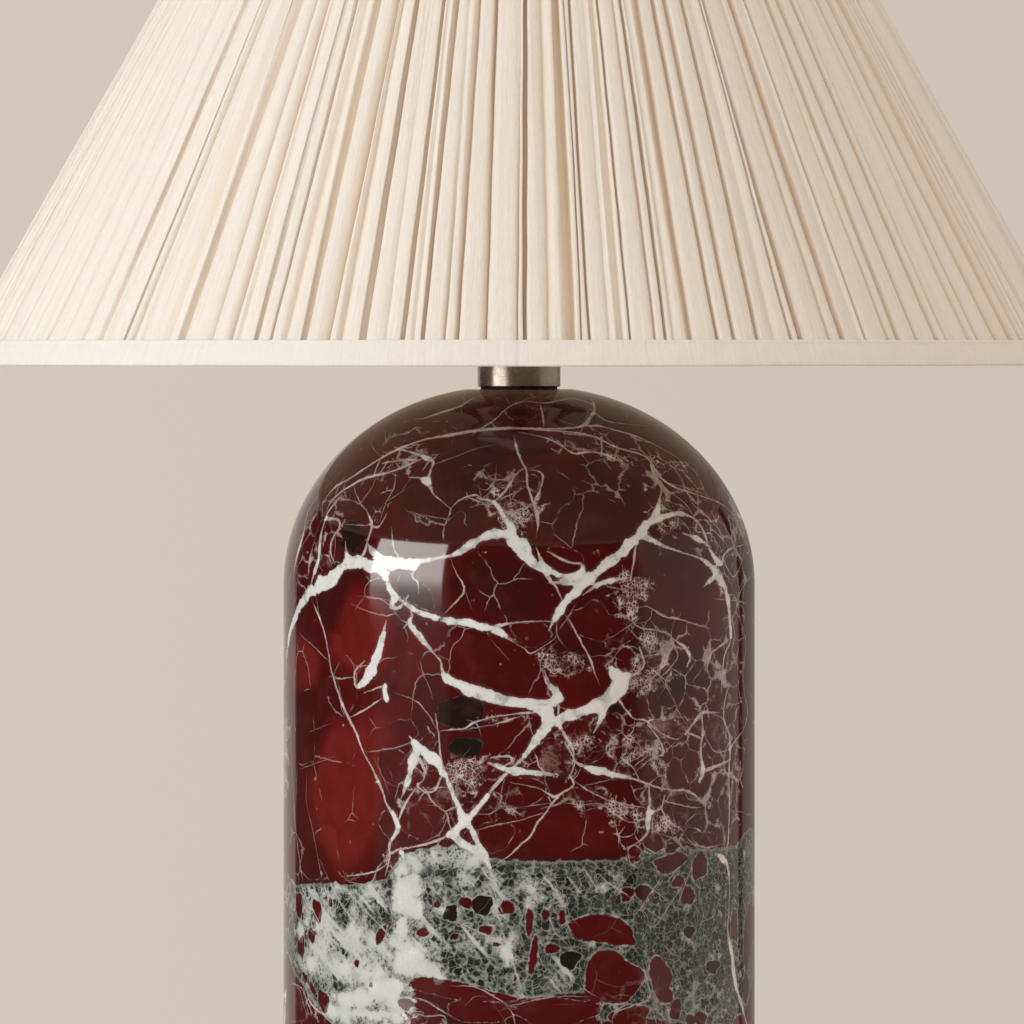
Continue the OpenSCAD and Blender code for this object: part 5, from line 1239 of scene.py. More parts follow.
    # green bed: rounded dark grains in pale cement, clouds and streaks of white
    q3 = t.vmath("ADD", p, t.vmath("ADD", centred(t.noise(p, 0.55, 2.0, 0.5, out=1), 1.5), centred(t.noise(p, 0.13, 2.0, 0.5, out=1), 5.0)))
    lack = t.math("ADD", t.math("ADD", t.math("MULTIPLY", t.attr("pale"), 0.34), wobble(big, 0.55)), t.math("ADD", wobble(mid, 0.80), wobble(jag, 0.25)))
    f1 = t.voronoi(q3, 0.42)
    n1 = t.math("SUBTRACT", grey(t.voronoi(q3, 0.42, "F1", "Color")), 0.5)
    grain = t.step(t.math("ADD", f1, t.math("ADD", lack, t.math("MULTIPLY", n1, 0.7))), 0.76, 0.50)
    f2 = t.voronoi(q3, 0.95)
    n2 = t.math("SUBTRACT", grey(t.voronoi(q3, 0.95, "F1", "Color")), 0.5)
    small = t.step(t.math("ADD", f2, t.math("ADD", t.math("MULTIPLY", lack, 0.8), t.math("MULTIPLY", n2, 0.7))), 0.68, 0.46)
    e2 = t.voronoi(q, 0.17, "DISTANCE_TO_EDGE")
    n3 = t.math("SUBTRACT", grey(t.voronoi(q, 0.17, "F1", "Color")), 0.5)
    pale_c = t.ramp(t.lin(t.math("ADD", fine, t.math("MULTIPLY", t.attr("pale"), 0.35)), 0.3, 1.0), [(0.0, srgb(112, 120, 113)), (0.5, srgb(152, 159, 153)), (1.0, srgb(196, 202, 198))])
    dark_c = t.ramp(t.lin(t.math("ADD", t.math("ADD", n1, n3), wobble(fine, 0.9)), -0.7, 0.9), [(0.0, srgb(25, 27, 24)), (0.45, srgb(46, 50, 46)), (0.8, srgb(78, 85, 79)), (1.0, srgb(112, 119, 112))])
    mid_c = t.mix(t.lin(fine, 0.3, 0.7), srgb(52, 57, 52), srgb(86, 93, 87))
    bedc = t.mix(t.math("MULTIPLY", small, 0.85), pale_c, mid_c)
    bedc = t.mix(grain, bedc, dark_c)
    e1 = t.voronoi(q3, 0.42, "DISTANCE_TO_EDGE")
    bedc = t.mix(t.math("MULTIPLY", t.step(e1, 0.07, 0.01), t.lin(jag, 0.3, 0.65, 0.15, 0.85)), bedc, srgb(142, 149, 142))
    bedc = t.mix(t.math("MULTIPLY", t.step(e2, 0.030, 0.008), t.step(jag, 0.46, 0.58, 0.0, 0.6)), bedc, srgb(160, 166, 160))
    along = t.vmath("DOT_PRODUCT", q2, (0.62, 0.2, -0.76))
    over = t.vmath("DOT_PRODUCT", q2, (0.78, 0.1, 0.62))
    comb = t.add("ShaderNodeCombineXYZ", X=t.math("MULTIPLY", along, 0.045), Y=t.math("MULTIPLY", over, 0.30))
    streak = t.step(t.math("ADD", t.noise(comb.outputs[0], 1.0, 3.0, 0.55), t.math("MULTIPLY", t.attr("pale"), 0.07)), 0.56, 0.68, 0.0, 0.85)
    streak = t.math("MULTIPLY", streak, t.step(t.math("ADD", t.noise(p, 0.028, 2.0, 0.5), t.math("MULTIPLY", t.attr("pale"), 0.25)), 0.50, 0.62))
    bedc = t.mix(streak, bedc, srgb(206, 211, 207))
    scal = t.math("MULTIPLY", t.math("SUBTRACT", 0.42, t.voronoi(q2, 0.24)), 1.1)
    bed = t.math("ADD", t.math("ADD", t.attr("bed"), scal), t.math("ADD", wobble(jag, 1.2), wobble(mid, 3.0)))
    bedm = t.math("MULTIPLY", t.step(bed, -0.25, 0.3), t.math("SUBTRACT", 1.0, in_clast))

    cement_col = t.mix(t.lin(mid, 0.35, 0.7), srgb(184, 166, 160), srgb(218, 217, 213))
    col = t.mix(lines, red, cement_col)
    rim = t.math("MULTIPLY", t.step(dc, 0.75, 0.15), t.math("MULTIPLY", bedm, t.lin(jag, 0.35, 0.65, 0.1, 0.85)))
    bedc = t.mix(rim, bedc, srgb(168, 174, 168))
    bedc = t.mix(t.math("MULTIPLY", lines, 0.8), bedc, srgb(184, 189, 184))
    bedc = t.mix(t.step(bed, 1.6, 0.3, 0.0, 0.5), bedc, srgb(150, 156, 150))
    col = t.mix(bedm, col, bedc)

    # broad white veins: scalloped by the clasts beside them, thinning to rags, grey clouds inside
    lobes = t.voronoi(q2, 0.21)
    lobes2 = t.voronoi(q2, 0.55)
    w = t.math("MINIMUM", t.attr("vein_w"), 6.0)
    amp = t.math("ADD", t.math("MULTIPLY", w, 0.30), 0.12)
    bite = t.math("ADD", t.math("SUBTRACT", 0.52, lobes), t.math("MULTIPLY", t.math("SUBTRACT", 0.46, lobes2), 0.35))
    v = t.math("ADD", t.attr("vein"), t.math("MULTIPLY", bite, t.math("MULTIPLY", amp, 1.5)))
    v = t.math("ADD", v, t.math("ADD", wobble(jag, 0.45), wobble(t.noise(p, 1.7, 2.0, 0.6), 0.16)))
    vm = t.step(v, 0.15, -0.13)
    deepv = t.step(v, -0.1, -1.5)
    white = t.mix(t.lin(mid, 0.3, 0.7), srgb(238, 241, 240), srgb(222, 226, 224))
    patch = t.math("MULTIPLY", t.step(t.noise(q2, 0.22, 3.0, 0.55), 0.52, 0.68), t.lin(deepv, 0.0, 1.0, 0.85, 0.45))
    white = t.mix(patch, white, srgb(160, 168, 162))
    white = t.mix(t.step(v, -0.75, 0.02, 0.0, 0.45), white, srgb(188, 190, 185))
    white = t.mix(t.math("MULTIPLY", t.step(t.voronoi(q2, 0.7, "DISTANCE_TO_EDGE"), 0.045, 0.015), t.step(fine, 0.56, 0.66, 0.0, 0.4)), white, srgb(140, 146, 138))
    # painted shade and painted reflection: the white veins turn warm grey-brown towards the top of the dome, under the
    # lampshade
    hgt = t.add("ShaderNodeSeparateXYZ", i0=p).outputs[2]
    white = t.mix(t.step(hgt, 280.0, 304.0, 0.0, 0.55), white, srgb(150, 134, 120))
    col = t.mix(vm, col, white)
    halo = t.math("MULTIPLY", t.step(v, 1.1, 0.1, 0.0, 0.28), t.math("SUBTRACT", 1.0, vm))
    col = t.mix(halo, col, srgb(120, 84, 80))

    # soft white bodies of the green bed
    clump = t.voronoi(t.vmath("ADD", p, centred(t.noise(p, 0.30, 2.0, 0.5, out=1), 3.5)), 0.16)
    sn = t.math("ADD", t.attr("snow"), t.math("ADD", wobble(jag, 0.55), wobble(mid, 0.75)))
    sn = t.math("ADD", sn, t.math("MULTIPLY", t.math("SUBTRACT", 0.50, clump), 0.75))
    body = t.mix(t.lin(mid, 0.3, 0.7), srgb(240, 241, 238), srgb(212, 216, 211))
    body = t.mix(t.step(t.noise(q2, 0.09, 3.0, 0.55), 0.55, 0.70, 0.0, 0.6), body, srgb(226, 214, 198))
    snowm = t.math("MULTIPLY", t.step(sn, 0.38, 0.58), t.math("SUBTRACT", 1.0, t.math("MULTIPLY", in_clast, 0.8)))
    body = t.mix(t.step(sn, 0.95, 0.45, 0.0, 0.55), body, srgb(176, 183, 177))
    col = t.mix(t.math("MULTIPLY", snowm, t.lin(fine, 0.3, 0.5, 0.86, 1.0)), col, body)
    halfway = t.math("MULTIPLY", t.step(sn, 0.14, 0.36, 0.0, 0.55), t.math("MULTIPLY", bedm, t.lin(e_b, 0.05, 0.25, 1.0, 0.25)))
    col = t.mix(halfway, col, srgb(206, 211, 206))

    rough = t.lin(fine, 0.3, 0.75, 0.045, 0.080)
    rough = t.math("ADD", rough, t.math("MULTIPLY", vm, 0.025))
    t.shader(Base_Color=col, Roughness=rough, IOR=1.45, Coat_Weight=0.05, Coat_Roughness=0.03,
             Normal=t.bump(t.noise(p, 0.03, 2.0, 0.5), 0.06 * MM, 0.3))
    return m


MATS["marble"] = marble_material()
stone.data.materials.clear()
stone.data.materials.append(MATS["marble"])
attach(stone, "base")
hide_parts("marble_body")


# ---------------------------------------------------------------- shade

Z0, Z1 = 320.6, 541.6
SLOPE = 125.0 / 221.0
LAY = math.sqrt(1 + SLOPE * SLOPE)
RIM_R = 200.0 - 0.8 * (LAY + SLOPE)
BAND_H = 7.5
RN, ZN = 1 / LAY, SLOPE / LAY                     # outward normal of the cone


def r_out(z):
    return RIM_R - SLOPE * (z - Z0)


# folds in front, read off the picture just above the band: x and kind. The dark line is at x, the fold that
# overlaps it starts at its right. W deep and open, w deep with a soft side, s sharp, t thin, o soft hollow, f faint
FRONT = [(2.5, "t"), (17, "t"), (31, "s"), (39, "f"), (49, "t"), (65.5, "w"), (81, "o"), (103, "s"), (109.5, "f"), (125, "t"), (134, "W"),
         (143.5, "f"), (167, "o"), (184, "W"), (212, "w"), (232, "W"), (239.5, "f"), (257, "t"), (271.6, "s"), (285, "o"), (305.6, "w"),
         (328, "W"), (340.5, "o"), (365, "s"), (386, "f"), (403.4, "s"), (414, "f"), (423.3, "w"), (444.4, "t"), (457.6, "w"),
         (485.8, "s"), (517.4, "t"), (525, "V"), (548, "o"), (573.8, "W"), (581, "t"), (589.6, "s"), (609, "f"), (622, "o"), (630, "s"),
         (655, "t"), (666, "w"), (673, "f"), (691.6, "w"), (718, "s"), (734.7, "w"), (758, "s"), (774, "f"), (791.5, "t"), (802, "W"), (831, "t"),
         (844.5, "W"), (859.5, "f"), (865.5, "s"), (889, "t"), (900, "w"), (917.5, "s"), (938.3, "s"), (946, "t"), (953.5, "f"), (970, "t"),
         (978, "s"), (997, "s"), (1003, "f")]
# kind: depth mm, share of the fold that slopes, width of the hollow mm, how much is left at the top, rise of the next fold mm
KIND = {"V": (3.0, 0.14, 1.7, 1.0, 0.42), "W": (2.8, 0.46, 1.0, 1.0, 0.45), "w": (2.5, 0.40, 0.55, 0.95, 0.45), "s": (2.5, 0.20, 0.50, 1.0, 0.42),
        "t": (1.8, 0.16, 0.35, 0.35, 0.5), "o": (1.5, 0.52, 0.7, 0.8, 1.9), "f": (0.8, 0.40, 0.3, 0.1, 1.3)}


def azimuth_at(x, z):
    """The azimuth at which the cone's outside at height z is seen at picture column x."""
    r = r_out(z)
    lo, hi = -1.5, 1.5
    for _ in range(40):
        m = (lo + hi) / 2
        if CX + FPX * r * math.sin(m) / (2100 - r * math.cos(m)) < x:
            lo = m
        else:
            hi = m
    return lo


def build_pleats():
    rnd = random.Random(90210)
    gaps = [(azimuth_at(x, Z0 + BAND_H + 1), k) for x, k in FRONT]
    # further up the folds lean a little to the right of the generators on this side
    lean = [np.interp(x, (0, 50, 66, 82, 200, 232, 300, 328, 345, 460, 540, 620, 720, 760, 802, 1010),
                      (0, 0, -4, 3, 0, -3, 0, 4, 0, 1, 2, 5.5, 5.5, 7, 0, -1)) * 0.00255 / max(0.35, math.cos(g[0])) for (x, _), g in zip(FRONT, gaps)]
    a = gaps[-1][0]
    end = gaps[0][0] + 2 * math.pi
    pitch_r = r_out(Z0 + BAND_H)
    while True:
        a += rnd.choice([2.4, 3.4, 4.6, 5.6, 6.8, 7.8, 8.8]) * rnd.uniform(0.85, 1.15) / pitch_r
        if a > end - 2.5 / pitch_r:
            break
        gaps.append((a, rnd.choice("WWwwwsssssttttooff")))
        lean.append(rnd.uniform(-4, 4) * 0.00255)
    n = len(gaps)
    rows = 42
    v = np.linspace(0, 1, rows)
    z = Z0 + (Z1 - Z0) * v
    r = r_out(z)
    scale = r / r[0]
    # every gap's own path, depth and width along the slant
    path, depth, width, frac = [], [], [], []
    for i, (a0, k) in enumerate(gaps):
        D, f, w, top, _ = KIND[k]
        aside = float(np.clip((abs(a0) - 0.45) / 0.5, 0, 1)) if a0 < 1.6 else 0.5
        D, f = D * (1 - 0.22 * aside), f * (1 + 0.9 * aside)
        amp = rnd.uniform(0.15, 0.45) / 195.0
        ph, fr_ = rnd.uniform(0, 6.28), rnd.uniform(0.5, 1.6)
        bend = amp * (np.sin(fr_ * 2 * math.pi * v + ph) - math.sin(ph)) + rnd.uniform(-0.5, 0.5) / 195.0 * v * (1 - v) * 4 * 0.6
        bend = bend + 0.07 / 195.0 * np.sin(rnd.uniform(5, 9) * 2 * math.pi * v + rnd.uniform(0, 6.28))
        path.append(a0 + bend + lean[i] * np.minimum(v, 0.75) / 0.552)
        wob = 1 + 0.18 * np.sin(2 * math.pi * v * rnd.uniform(0.7, 2.0) + rnd.uniform(0, 6.28))
        keep = 1 - (1 - top) * np.clip((v - rnd.uniform(0.05, 0.3)) / rnd.uniform(0.35, 0.6), 0, 1)
        depth.append(D * keep * (0.93 + 0.07 * wob))
        pinch = 0.45 + 0.55 * np.clip(v / rnd.uniform(0.10, 0.35), 0, 1)      # the hollows close towards the band
        width.append(w * wob * pinch * (0.35 + 0.65 * keep) * (0.55 + 0.45 * scale) * (0.75 if k in "tf" else 1.0))
        frac.append(np.clip(f * (1 + 0.3 * np.sin(2 * math.pi * v * rnd.uniform(0.4, 1.3) + rnd.uniform(0, 6.28))) * (0.75 + 0.45 * v), 0.08, 0.75))
    path, depth, width, frac = map(np.array, (path, depth, width, frac))
    cols_a, cols_h, cols_t, cols_m = [], [], [], []
    for i in range(n):
        j = (i + 1) % n
        right = path[j] + (2 * math.pi if j == 0 else 0)
        left = path[i]
        gap_l, gap_r = width[i] / 2, width[j] / 2
        span = (right - left) * r                              # mm from gap centre to gap centre
        squeeze = np.minimum(1.0, 0.42 * span / (gap_l + gap_r + 0.5))
        gl, gr = gap_l * squeeze, gap_r * squeeze
        L = span - gl - gr                                     # the fold's own width
        dl, dr = depth[i], depth[j]
        f = frac[j]
        level = -rnd.uniform(0.0, 0.45) * (0.4 if gaps[i][1] in "VWs" else 1.0)
        tilt = rnd.uniform(-0.25, 0.10)
        crown = rnd.uniform(0.10, 0.30) + np.clip(0.45 - 0.05 * L, 0, 0.4)
        rise = KIND[gaps[i][1]][4]
        e1, e2 = np.minimum(0.38 * rise, 0.06 * L if rise < 1 else 0.13 * L), np.minimum(rise, 0.13 * L if rise < 1 else 0.34 * L)
        lip = 0.16 if rise < 1 else 0.0
        mound = lambda t: crown * (1 - (2 * t - 1) ** 2)
        tone_i = rnd.uniform(0, 1)
        f_end = 1 - e2 / L
        pts = []
        pts.append((-gl, -dl, 0.0))                            # middle of the hollow
        pts.append((-gl * 0.15, -dl * 0.96, 0.02))
        pts.append((e1, level - (dl + level) * 0.45, 0.06))
        pts.append((e2, level + lip * np.ones(rows), 0.12))
        for t in (0.22, 0.42, 0.62):
            tt = e2 / L + (1 - f - e2 / L) * t * 1.35
            tt = np.minimum(tt, 1 - f)
            pts.append((tt * L, level + mound(tt) * 0.5 + tilt * tt, 0.3 + t))
        pe = 1 - f
        pts.append((pe * L, level + mound(pe) * 0.4 + tilt * pe - 0.04, 0.8))
        drop = (dr + level) * 0.55
        h_end = level + tilt
        pts.append(((pe + (f_end - pe) * 0.4) * L, h_end - drop * 0.22, 0.85))
        pts.append(((pe + (f_end - pe) * 0.75) * L, h_end - drop * 0.58, 0.9))
        pts.append((f_end * L, h_end - drop, 0.95))
        pts.append((L - e1 * 0.6, -dr + (dr + h_end - drop) * 0.35, 0.98))
        for off, h, m_ in pts:
            aa = left + (gl + off) / r
            cols_a.append(aa * np.ones(rows))
            cols_h.append(h * np.ones(rows))
            cols_t.append(np.full(rows, tone_i))
            cols_m.append(np.full(rows, i / n))
    A_, H, T = (np.array(x).T for x in (cols_a, cols_h, cols_t))         # rows x columns
    ncol = A_.shape[1]
    # slow unevenness of the whole cloth
    for k in range(6):
        ka, kv = rnd.randint(9, 60), rnd.uniform(0.5, 3.0)
        H = H + 0.06 * np.sin(ka * A_ + rnd.uniform(0, 6.28)) * np.cos(kv * 2 * math.pi * v + rnd.uniform(0, 6.28))[:, None]
    H = np.clip(H, -3.05, 0.35)
    # both ends are pressed flat under the bands
    inb = np.clip(1 - np.minimum(z - Z0, Z1 - z) / (BAND_H + 0.8), 0, 1)[:, None]
    H = np.where(H > -0.05, H * (1 - np.clip(inb * 4, 0, 1)) - 0.05 * np.clip(inb * 4, 0, 1), H)
    # column seam at the left end of the first fold
    A_ = np.hstack([A_, A_[:, :1] + 2 * math.pi])
    H = np.hstack([H, H[:, :1]])
    T = np.hstack([T, T[:, :1]])
    R = r[:, None] + H * RN
    Z = z[:, None] + H * ZN
    Z = np.clip(Z, Z0, Z1)
    X, Y = R * np.sin(A_), -R * np.cos(A_)
    verts = np.stack([X, Y, Z], -1).reshape(-1, 3) * MM
    faces = grid_faces(rows, ncol + 1, wrap=False)
    o = mesh_object("pleats", verts, faces.tolist(), None, True, None)
    # how deep the cloth lies below the crests; the linen turns this into painted shade in the folds
    put_attr(o, "deep", np.clip(-H / 3.0, 0, 1).ravel())
    put_attr(o, "fold", T.ravel())
    # cloth coordinates in millimetres: across the pleats (with the depth counted in) and up the slant
    across = A_ * r.mean() + 0.0
    up = np.repeat((v * 221.0 * LAY)[:, None], ncol + 1, 1)
    put_attr(o, "cloth", np.stack([across * 1.35 + H * 0.8, up, T * 40.0], -1).reshape(-1, 3), "FLOAT_VECTOR")
    area = sum(p.area for p in o.data.polygons)
    return o, n, area


pleats, n_folds, area = build_pleats()
print("folds", n_folds, "cloth area m2", round(area, 4), "faces", len(pleats.data.polygons))


def linen(name, attr, deep_attr=None, light=(238, 233, 226), dark=(224, 217, 206), along=1):
    """Fine slubby linen: threads along one way of the cloth coordinates, a faint cross weave, soft sheen, and with
    deep_attr painted shade in the deep folds.
    """
    m, t = material(name)
    c = t.attr(attr, "Vector")
    p = t.mm()
    long_ = (2.3, 0.13, 1.0) if along == 1 else (0.13, 2.3, 1.0)
    thr = t.noise(t.vmath("MULTIPLY", c, long_), 1.0, 3.0, 0.6)
    slub_v = (0.95, 0.018, 1.0) if along == 1 else (0.018, 0.95, 1.0)
    slub = t.noise(t.vmath("MULTIPLY", c, slub_v), 1.0, 2.0, 0.5, 0.3)
    cross = (0.05, 2.4, 1.0) if along == 1 else (2.4, 0.05, 1.0)
    weft = t.noise(t.vmath("MULTIPLY", c, cross), 1.0, 2.0, 0.6)
    knots = t.noise(t.vmath("MULTIPLY", c, (1.3, 0.34, 1.0) if along == 1 else (0.34, 1.3, 1.0)), 1.0, 3.0, 0.65)
    cloud = t.noise(p, 0.022, 3.0, 0.5)
    col = t.mix(t.lin(thr, 0.3, 0.72, 0.0, 0.75), srgb(*light), srgb(*dark))
    col = t.mix(t.step(slub, 0.56, 0.72, 0.0, 0.55), col, srgb(light[0] + 8, light[1] + 8, light[2] + 6))
    col = t.mix(t.step(slub, 0.42, 0.28, 0.0, 0.45), col, srgb(dark[0] - 6, dark[1] - 8, dark[2] - 11))
    col = t.mix(t.lin(weft, 0.4, 0.75, 0.0, 0.10), col, srgb(dark[0] - 8, dark[1] - 10, dark[2] - 14))
    col = t.mix(t.step(knots, 0.54, 0.72, 0.0, 0.40), col, srgb(dark[0] - 8, dark[1] - 10, dark[2] - 13))
    col = t.mix(t.step(knots, 0.42, 0.26, 0.0, 0.45), col, srgb(light[0] + 8, light[1] + 8, light[2] + 7))
    col = t.mix(t.lin(cloud, 0.3, 0.7, 0.0, 0.25), col, srgb(light[0] - 4, light[1] - 6, light[2] - 9))
    # painted shade: the cloth turns tan where the folds are deep, and a darker tan in the deepest hollows
    if deep_attr:
        dep = t.attr(deep_attr)
        col = t.mix(t.step(dep, 0.08, 0.60, 0.0, 0.75), col, srgb(226, 209, 186))
        col = t.mix(t.step(dep, 0.50, 0.95, 0.0, 0.80), col, srgb(210, 188, 160))
    h = t.math("ADD", t.math("MULTIPLY", thr, 1.0), t.math("ADD", t.math("MULTIPLY", slub, 0.8), t.math("ADD", t.math("MULTIPLY", weft, 0.15), t.math("MULTIPLY", knots, 0.7))))
    t.shader(Base_Color=col, Roughness=t.lin(thr, 0.3, 0.7, 0.78, 0.92), Sheen_Weight=0.25, Sheen_Roughness=0.5,
             Specular_IOR_Level=0.25, Normal=t.bump(h, 0.11 * MM, 0.8))
    MATS[name] = m
    return m


pleats.data.materials.append(linen("pleated_linen", "cloth", "deep"))
linen("band_linen", "cloth", None, (237, 234, 229), (227, 221, 213), along=1)


def band(name, low, seed):
    """Folded cloth band over an edge of the shade: a closed soft strip with an outer, an under and an inner leg."""
    cols = 900
    ring_x = (r_out(Z0 + 1.8) - 5.6 * LAY) if low else (r_out(Z1 - 1.8) - 5.6 * LAY)
    xi = ring_x - 1.5 - 0.25
    t = 0.8
    if low:
        zt, zb = Z0 + BAND_H, Z0 - t
        # (radius, z, how much the puffs move it), clockwise from the outer top edge
        prof = [(r_out(zt) + 0.20, zt - 0.25, 0.2), (r_out(zt) + 0.16, zt + 0.02, 0.2), (r_out(zt) + 0.50, zt + 0.22, 0.3),
                (r_out(zt) + 0.92, zt + 0.12, 0.4), (r_out(zt - 0.4) + 1.08, zt - 0.4, 0.4), (r_out(zt - 0.9) + 0.84, zt - 0.9, 0.3),
                (r_out(zt - 1.6) + 0.96, zt - 1.6, 0.8), (r_out(zt - 2.8) + 1.04, zt - 2.8, 1.0), (r_out(zt - 4.2) + 1.06, zt - 4.2, 1.0),
                (r_out(zt - 5.4) + 1.02, zt - 5.4, 0.9), (r_out(zt - 6.6) + 0.92, zt - 6.6, 0.7), (r_out(zt - 7.4) + 0.82, zt - 7.4, 0.5),
                (r_out(zb) + 0.70, zb + 0.35, 0.4), (r_out(zb) + 0.25, zb + 0.06, 0.3), (r_out(zb) - 0.6, zb - 0.02, 0.2),
                (r_out(zb) - 3.0, zb + 0.02, 0.2), (xi + 0.6, zb + 0.02, 0.2), (xi - 0.35, zb + 0.12, 0.2), (xi - t, zb + 0.7, 0.2),
                (xi - t, Z0 + 3.0, 0.3), (xi - t + 0.05, Z0 + 5.6, 0.3), (xi - 0.4, Z0 + 6.1, 0.2), (xi, Z0 + 5.8, 0.1), (xi, Z0 + 3.0, 0.1),
                (xi + 0.02, Z0 + 0.2, 0.0), (xi + 0.4, Z0 - 0.12, 0.0), (r_out(Z0) - 3.0, Z0 - 0.12, 0.0), (r_out(Z0) - 0.2, Z0 - 0.12, 0.0),
                (r_out(Z0) + 0.18, Z0 + 0.05, 0.0), (r_out(Z0 + 3.5) + 0.18, Z0 + 3.5, 0.0)]
    else:
        zt, zb = Z1 - BAND_H, Z1 + t
        prof = [(r_out(zt) + 0.20, zt + 0.25, 0.2), (r_out(zt) + 0.16, zt - 0.02, 0.2), (r_out(zt) + 0.50, zt - 0.22, 0.3),
                (r_out(zt) + 0.92, zt - 0.12, 0.4), (r_out(zt + 0.4) + 1.08, zt + 0.4, 0.4), (r_out(zt + 0.9) + 0.84, zt + 0.9, 0.3),
                (r_out(zt + 1.6) + 0.96, zt + 1.6, 0.8), (r_out(zt + 2.8) + 1.04, zt + 2.8, 1.0), (r_out(zt + 4.2) + 1.06, zt + 4.2, 1.0),
                (r_out(zt + 5.4) + 1.02, zt + 5.4, 0.9), (r_out(zt + 6.6) + 0.92, zt + 6.6, 0.7), (r_out(zt + 7.4) + 0.82, zt + 7.4, 0.5),
                (r_out(zb) + 0.70, zb - 0.35, 0.4), (r_out(zb) + 0.25, zb - 0.06, 0.3), (r_out(zb) - 0.6, zb - 0.02, 0.2),
                (r_out(zb) - 3.0, zb - 0.02, 0.2), (xi + 0.6, zb - 0.02, 0.2), (xi - 0.35, zb - 0.12, 0.2), (xi - t, zb - 0.7, 0.2),
                (xi - t, Z1 - 3.0, 0.3), (xi - t + 0.05, Z1 - 5.1, 0.3), (xi - 0.4, Z1 - 5.6, 0.2), (xi, Z1 - 5.3, 0.1), (xi, Z1 - 3.0, 0.1),
                (xi + 0.02, Z1 - 0.2, 0.0), (xi + 0.4, Z1 + 0.12, 0.0), (r_out(Z1) - 3.0, Z1 + 0.12, 0.0), (r_out(Z1) - 0.2, Z1 + 0.12, 0.0),
                (r_out(Z1) + 0.18, Z1 - 0.05, 0.0), (r_out(Z1 - 3.5) + 0.18, Z1 - 3.5, 0.0)]
    circ = 2 * math.pi * prof[0][0]
    hi = max(20, int(circ / 9))
    puff = periodic(seed, cols, (hi // 4, hi), 0.17) + periodic(seed + 1, cols, (3, 14), 0.08)
    lift = periodic(seed + 2, cols, (5, 40), 0.16)
    ang = np.arange(cols) * 2 * math.pi / cols
    V, cl = [], []
    s = 0.0
    for i, (r0, z0, k) in enumerate(prof):
        if i:
            s += math.hypot(r0 - prof[i - 1][0], z0 - prof[i - 1][1])
        ph = 0.12 * np.sin(ang * hi * 0.37 + i * 0.9) * k
        rr = r0 + puff * k * RN + ph * RN
        zz = z0 + puff * k * ZN * 0.3 + lift * min(k, 0.5) * (1.0 if low else -1.0)
        V.append(np.stack([rr * np.sin(ang), -rr * np.cos(ang), zz], 1))
        cl.append(np.stack([ang * prof[0][0], np.full(cols, s), np.full(cols, 3.0)], 1))
    V = np.array(V)
    if not low:
        # the band is notched where the three arms pass under it
        for arm in (90, 210, 330):
            a_arm = math.atan2(math.cos(math.radians(arm)), -math.sin(math.radians(arm))) % (2 * math.pi)
            d = np.abs((ang - a_arm + math.pi) % (2 * math.pi) - math.pi) * xi
            near = d < 2.6
            for i in (18, 19, 20, 21, 22, 23):
                V[i][near, 2] = np.maximum(V[i][near, 2], Z1 - 0.9 + 0.25 * (d[near] / 2.6))
    verts = V.reshape(-1, 3)
    n = len(prof)
    faces = grid_faces(n, cols)
    lastr = (n - 1) * cols
    cc = np.arange(cols)
    faces = np.vstack([faces, np.stack([lastr + cc, lastr + (cc + 1) % cols, (cc + 1) % cols, cc], 1)])
    o = mesh_object(name, verts * MM, faces.tolist(), MATS["band_linen"], True, None)
    bm = bmesh.new()
    bm.from_mesh(o.data)
    bmesh.ops.recalc_face_normals(bm, faces=bm.faces)
    bm.to_mesh(o.data)
    bm.free()
    put_attr(o, "cloth", np.array(cl).reshape(-1, 3), "FLOAT_VECTOR")
    return o, s, circ


low_band, low_w, low_c = band("bottom_band", True, 77)
top_band, top_w, top_c = band("top_band", False, 91)

for o, node, slot_ in ((pleats, "shade_pleats", "pleated_linen"), (low_band, "shade_bottom_trim", "band_linen"),
                       (top_band, "shade_top_trim", "band_linen")):
    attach(o, "shade")
    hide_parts(node)


# ---------------------------------------------------------------- harp: one round wire with a boss

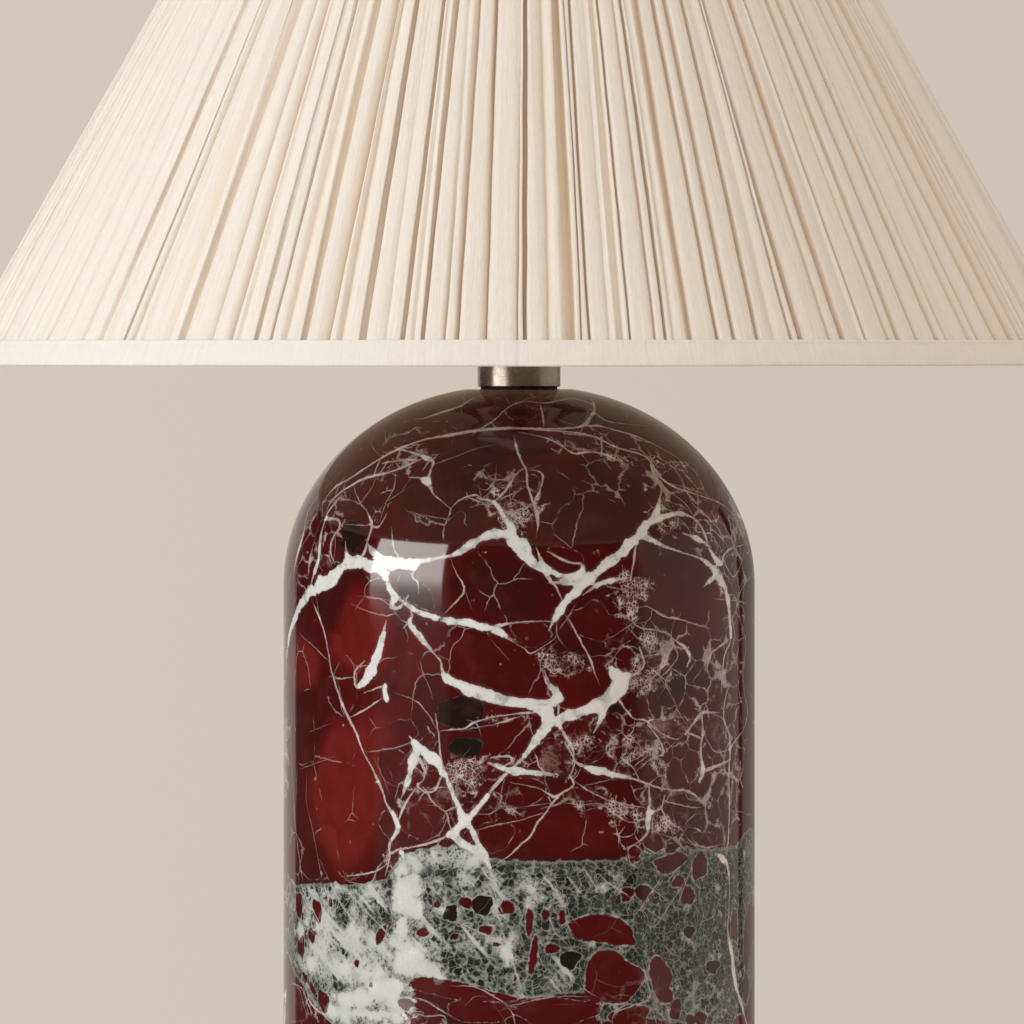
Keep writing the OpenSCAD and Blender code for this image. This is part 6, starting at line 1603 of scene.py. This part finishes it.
def build_harp():
    post_x, lap_z, lap_h, wire_r = 25.5, 340.0, 10.0, 2.2
    bend_r, bend_a, side_a, bow_r = 30.0, 40.0, 35.0, 90.0
    sn, cs = (lambda d: math.sin(math.radians(d))), (lambda d: math.cos(math.radians(d)))
    bow_x = post_x + bend_r * (1 - cs(bend_a)) - bow_r * cs(bend_a)
    top_r = (bow_x + bow_r * cs(side_a) - 9) / cs(side_a)
    rise = bend_r * sn(bend_a) + bow_r * sn(bend_a) + bow_r * sn(side_a) + top_r * (1 - sn(side_a))
    harp_z = 335.5 + 183.5
    bend_z = harp_z - rise
    bow_z = bend_z + bend_r * sn(bend_a) + bow_r * sn(bend_a)
    half = [(post_x, lap_z + lap_h + 0.0, 90.0)]
    half += [(post_x, z, 90.0) for z in np.linspace(lap_z + lap_h + 3, bend_z - 2, 5)]
    half += [(post_x + bend_r + bend_r * cs(180 - bend_a * i / 12), bend_z + bend_r * sn(180 - bend_a * i / 12), 90 - bend_a * i / 12) for i in range(13)]
    for i in range(1, 41):
        a = -bend_a + (side_a + bend_a) * i / 40
        half.append((bow_x + bow_r * cs(a), bow_z + bow_r * sn(a), a + 90))
    for i in range(1, 25):
        a = side_a + (90 - side_a) * i / 24
        half.append((bow_x + (bow_r - top_r) * cs(side_a) + top_r * cs(a), bow_z + (bow_r - top_r) * sn(side_a) + top_r * sn(a), a + 90))
    wire = half + [(-x, z, -a) for x, z, a in reversed(half)]
    sides = 28
    verts, faces = [], []
    for x, z, a in wire:
        for k in range(sides):
            t = 2 * math.pi * k / sides
            u = wire_r * math.cos(t)
            verts.append((x + u * cs(a + 90), wire_r * math.sin(t), z + u * sn(a + 90)))
    n = len(wire)
    for i in range(n - 1):
        for k in range(sides):
            k2 = (k + 1) % sides
            faces.append((i * sides + k, i * sides + k2, (i + 1) * sides + k2, (i + 1) * sides + k))
    faces.append(tuple(range(sides - 1, -1, -1)))
    faces.append(tuple((n - 1) * sides + k for k in range(sides)))
    # half-round feet that lap the saddle's posts
    for s in (1, -1):
        base = len(verts)
        m = 16
        for z in (lap_z + 0.05, lap_z + lap_h):
            for k in range(m + 1):
                t = -math.pi / 2 + math.pi * k / m
                verts.append((s * (post_x + 0.05 + (wire_r - 0.05) * math.cos(t)), wire_r * math.sin(t), z))
        for k in range(m):
            q = (base + k, base + k + 1, base + m + 1 + k + 1, base + m + 1 + k)
            faces.append(q if s > 0 else q[::-1])
        flat = (base, base + m, base + 2 * m + 1, base + m + 1)
        faces.append(flat[::-1] if s > 0 else flat)
        lowf = tuple(range(base, base + m + 1))
        upf = tuple(range(base + m + 1, base + 2 * m + 2))
        faces.append(lowf[::-1] if s > 0 else lowf)
        faces.append(upf if s > 0 else upf[::-1])
    # boss: a washer pressed round the middle
    m = 48
    prof = [(2.6, harp_z - 2.6), (6.2, harp_z - 2.6), (6.6, harp_z - 2.2), (6.6, harp_z + 2.2), (6.2, harp_z + 2.6), (2.6, harp_z + 2.6)]
    base = len(verts)
    for r, z in prof:
        for k in range(m):
            t = 2 * math.pi * k / m
            verts.append((r * math.sin(t), -r * math.cos(t), z))
    for i in range(len(prof)):
        j = (i + 1) % len(prof)
        for k in range(m):
            k2 = (k + 1) % m
            faces.append((base + i * m + k, base + i * m + k2, base + j * m + k2, base + j * m + k))
    o = mesh_object("harp_wire", np.array(verts) * MM, faces, MATS["nickel"], True, 40.0)
    return o


harp = build_harp()
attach(harp, "base")
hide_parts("harp")


# ---------------------------------------------------------------- finishes of the CAD nodes

for name, o in nodes.items():
    for s in o.material_slots:
        key = s.material.name.split(".")[0] if s.material else ""
        if key in MATS:
            s.material = MATS[key]
        else:
            print("no finish for", name, key)


# ---------------------------------------------------------------- floor

def floor():
    m, t = material("floor")
    p = t.mm()
    cloud = t.noise(p, 0.004, 3.0, 0.5)
    fine = t.noise(p, 0.35, 4.0, 0.6)
    col = t.mix(t.lin(cloud, 0.3, 0.7), srgb(214, 203, 191), srgb(206, 194, 182))
    t.shader(Base_Color=col, Roughness=t.lin(fine, 0.3, 0.7, 0.6, 0.75), Specular_IOR_Level=0.3, Normal=t.bump(fine, 0.02 * MM))
    n, r = 96, 0.74
    verts = [(0, 0, -0.0005)] + [(r * math.sin(2 * math.pi * i / n), -r * math.cos(2 * math.pi * i / n), -0.0005) for i in range(n)]
    faces = [(0, i + 1, (i + 1) % n + 1) for i in range(n)]
    o = mesh_object("floor", verts, faces, m, False, None)


floor()
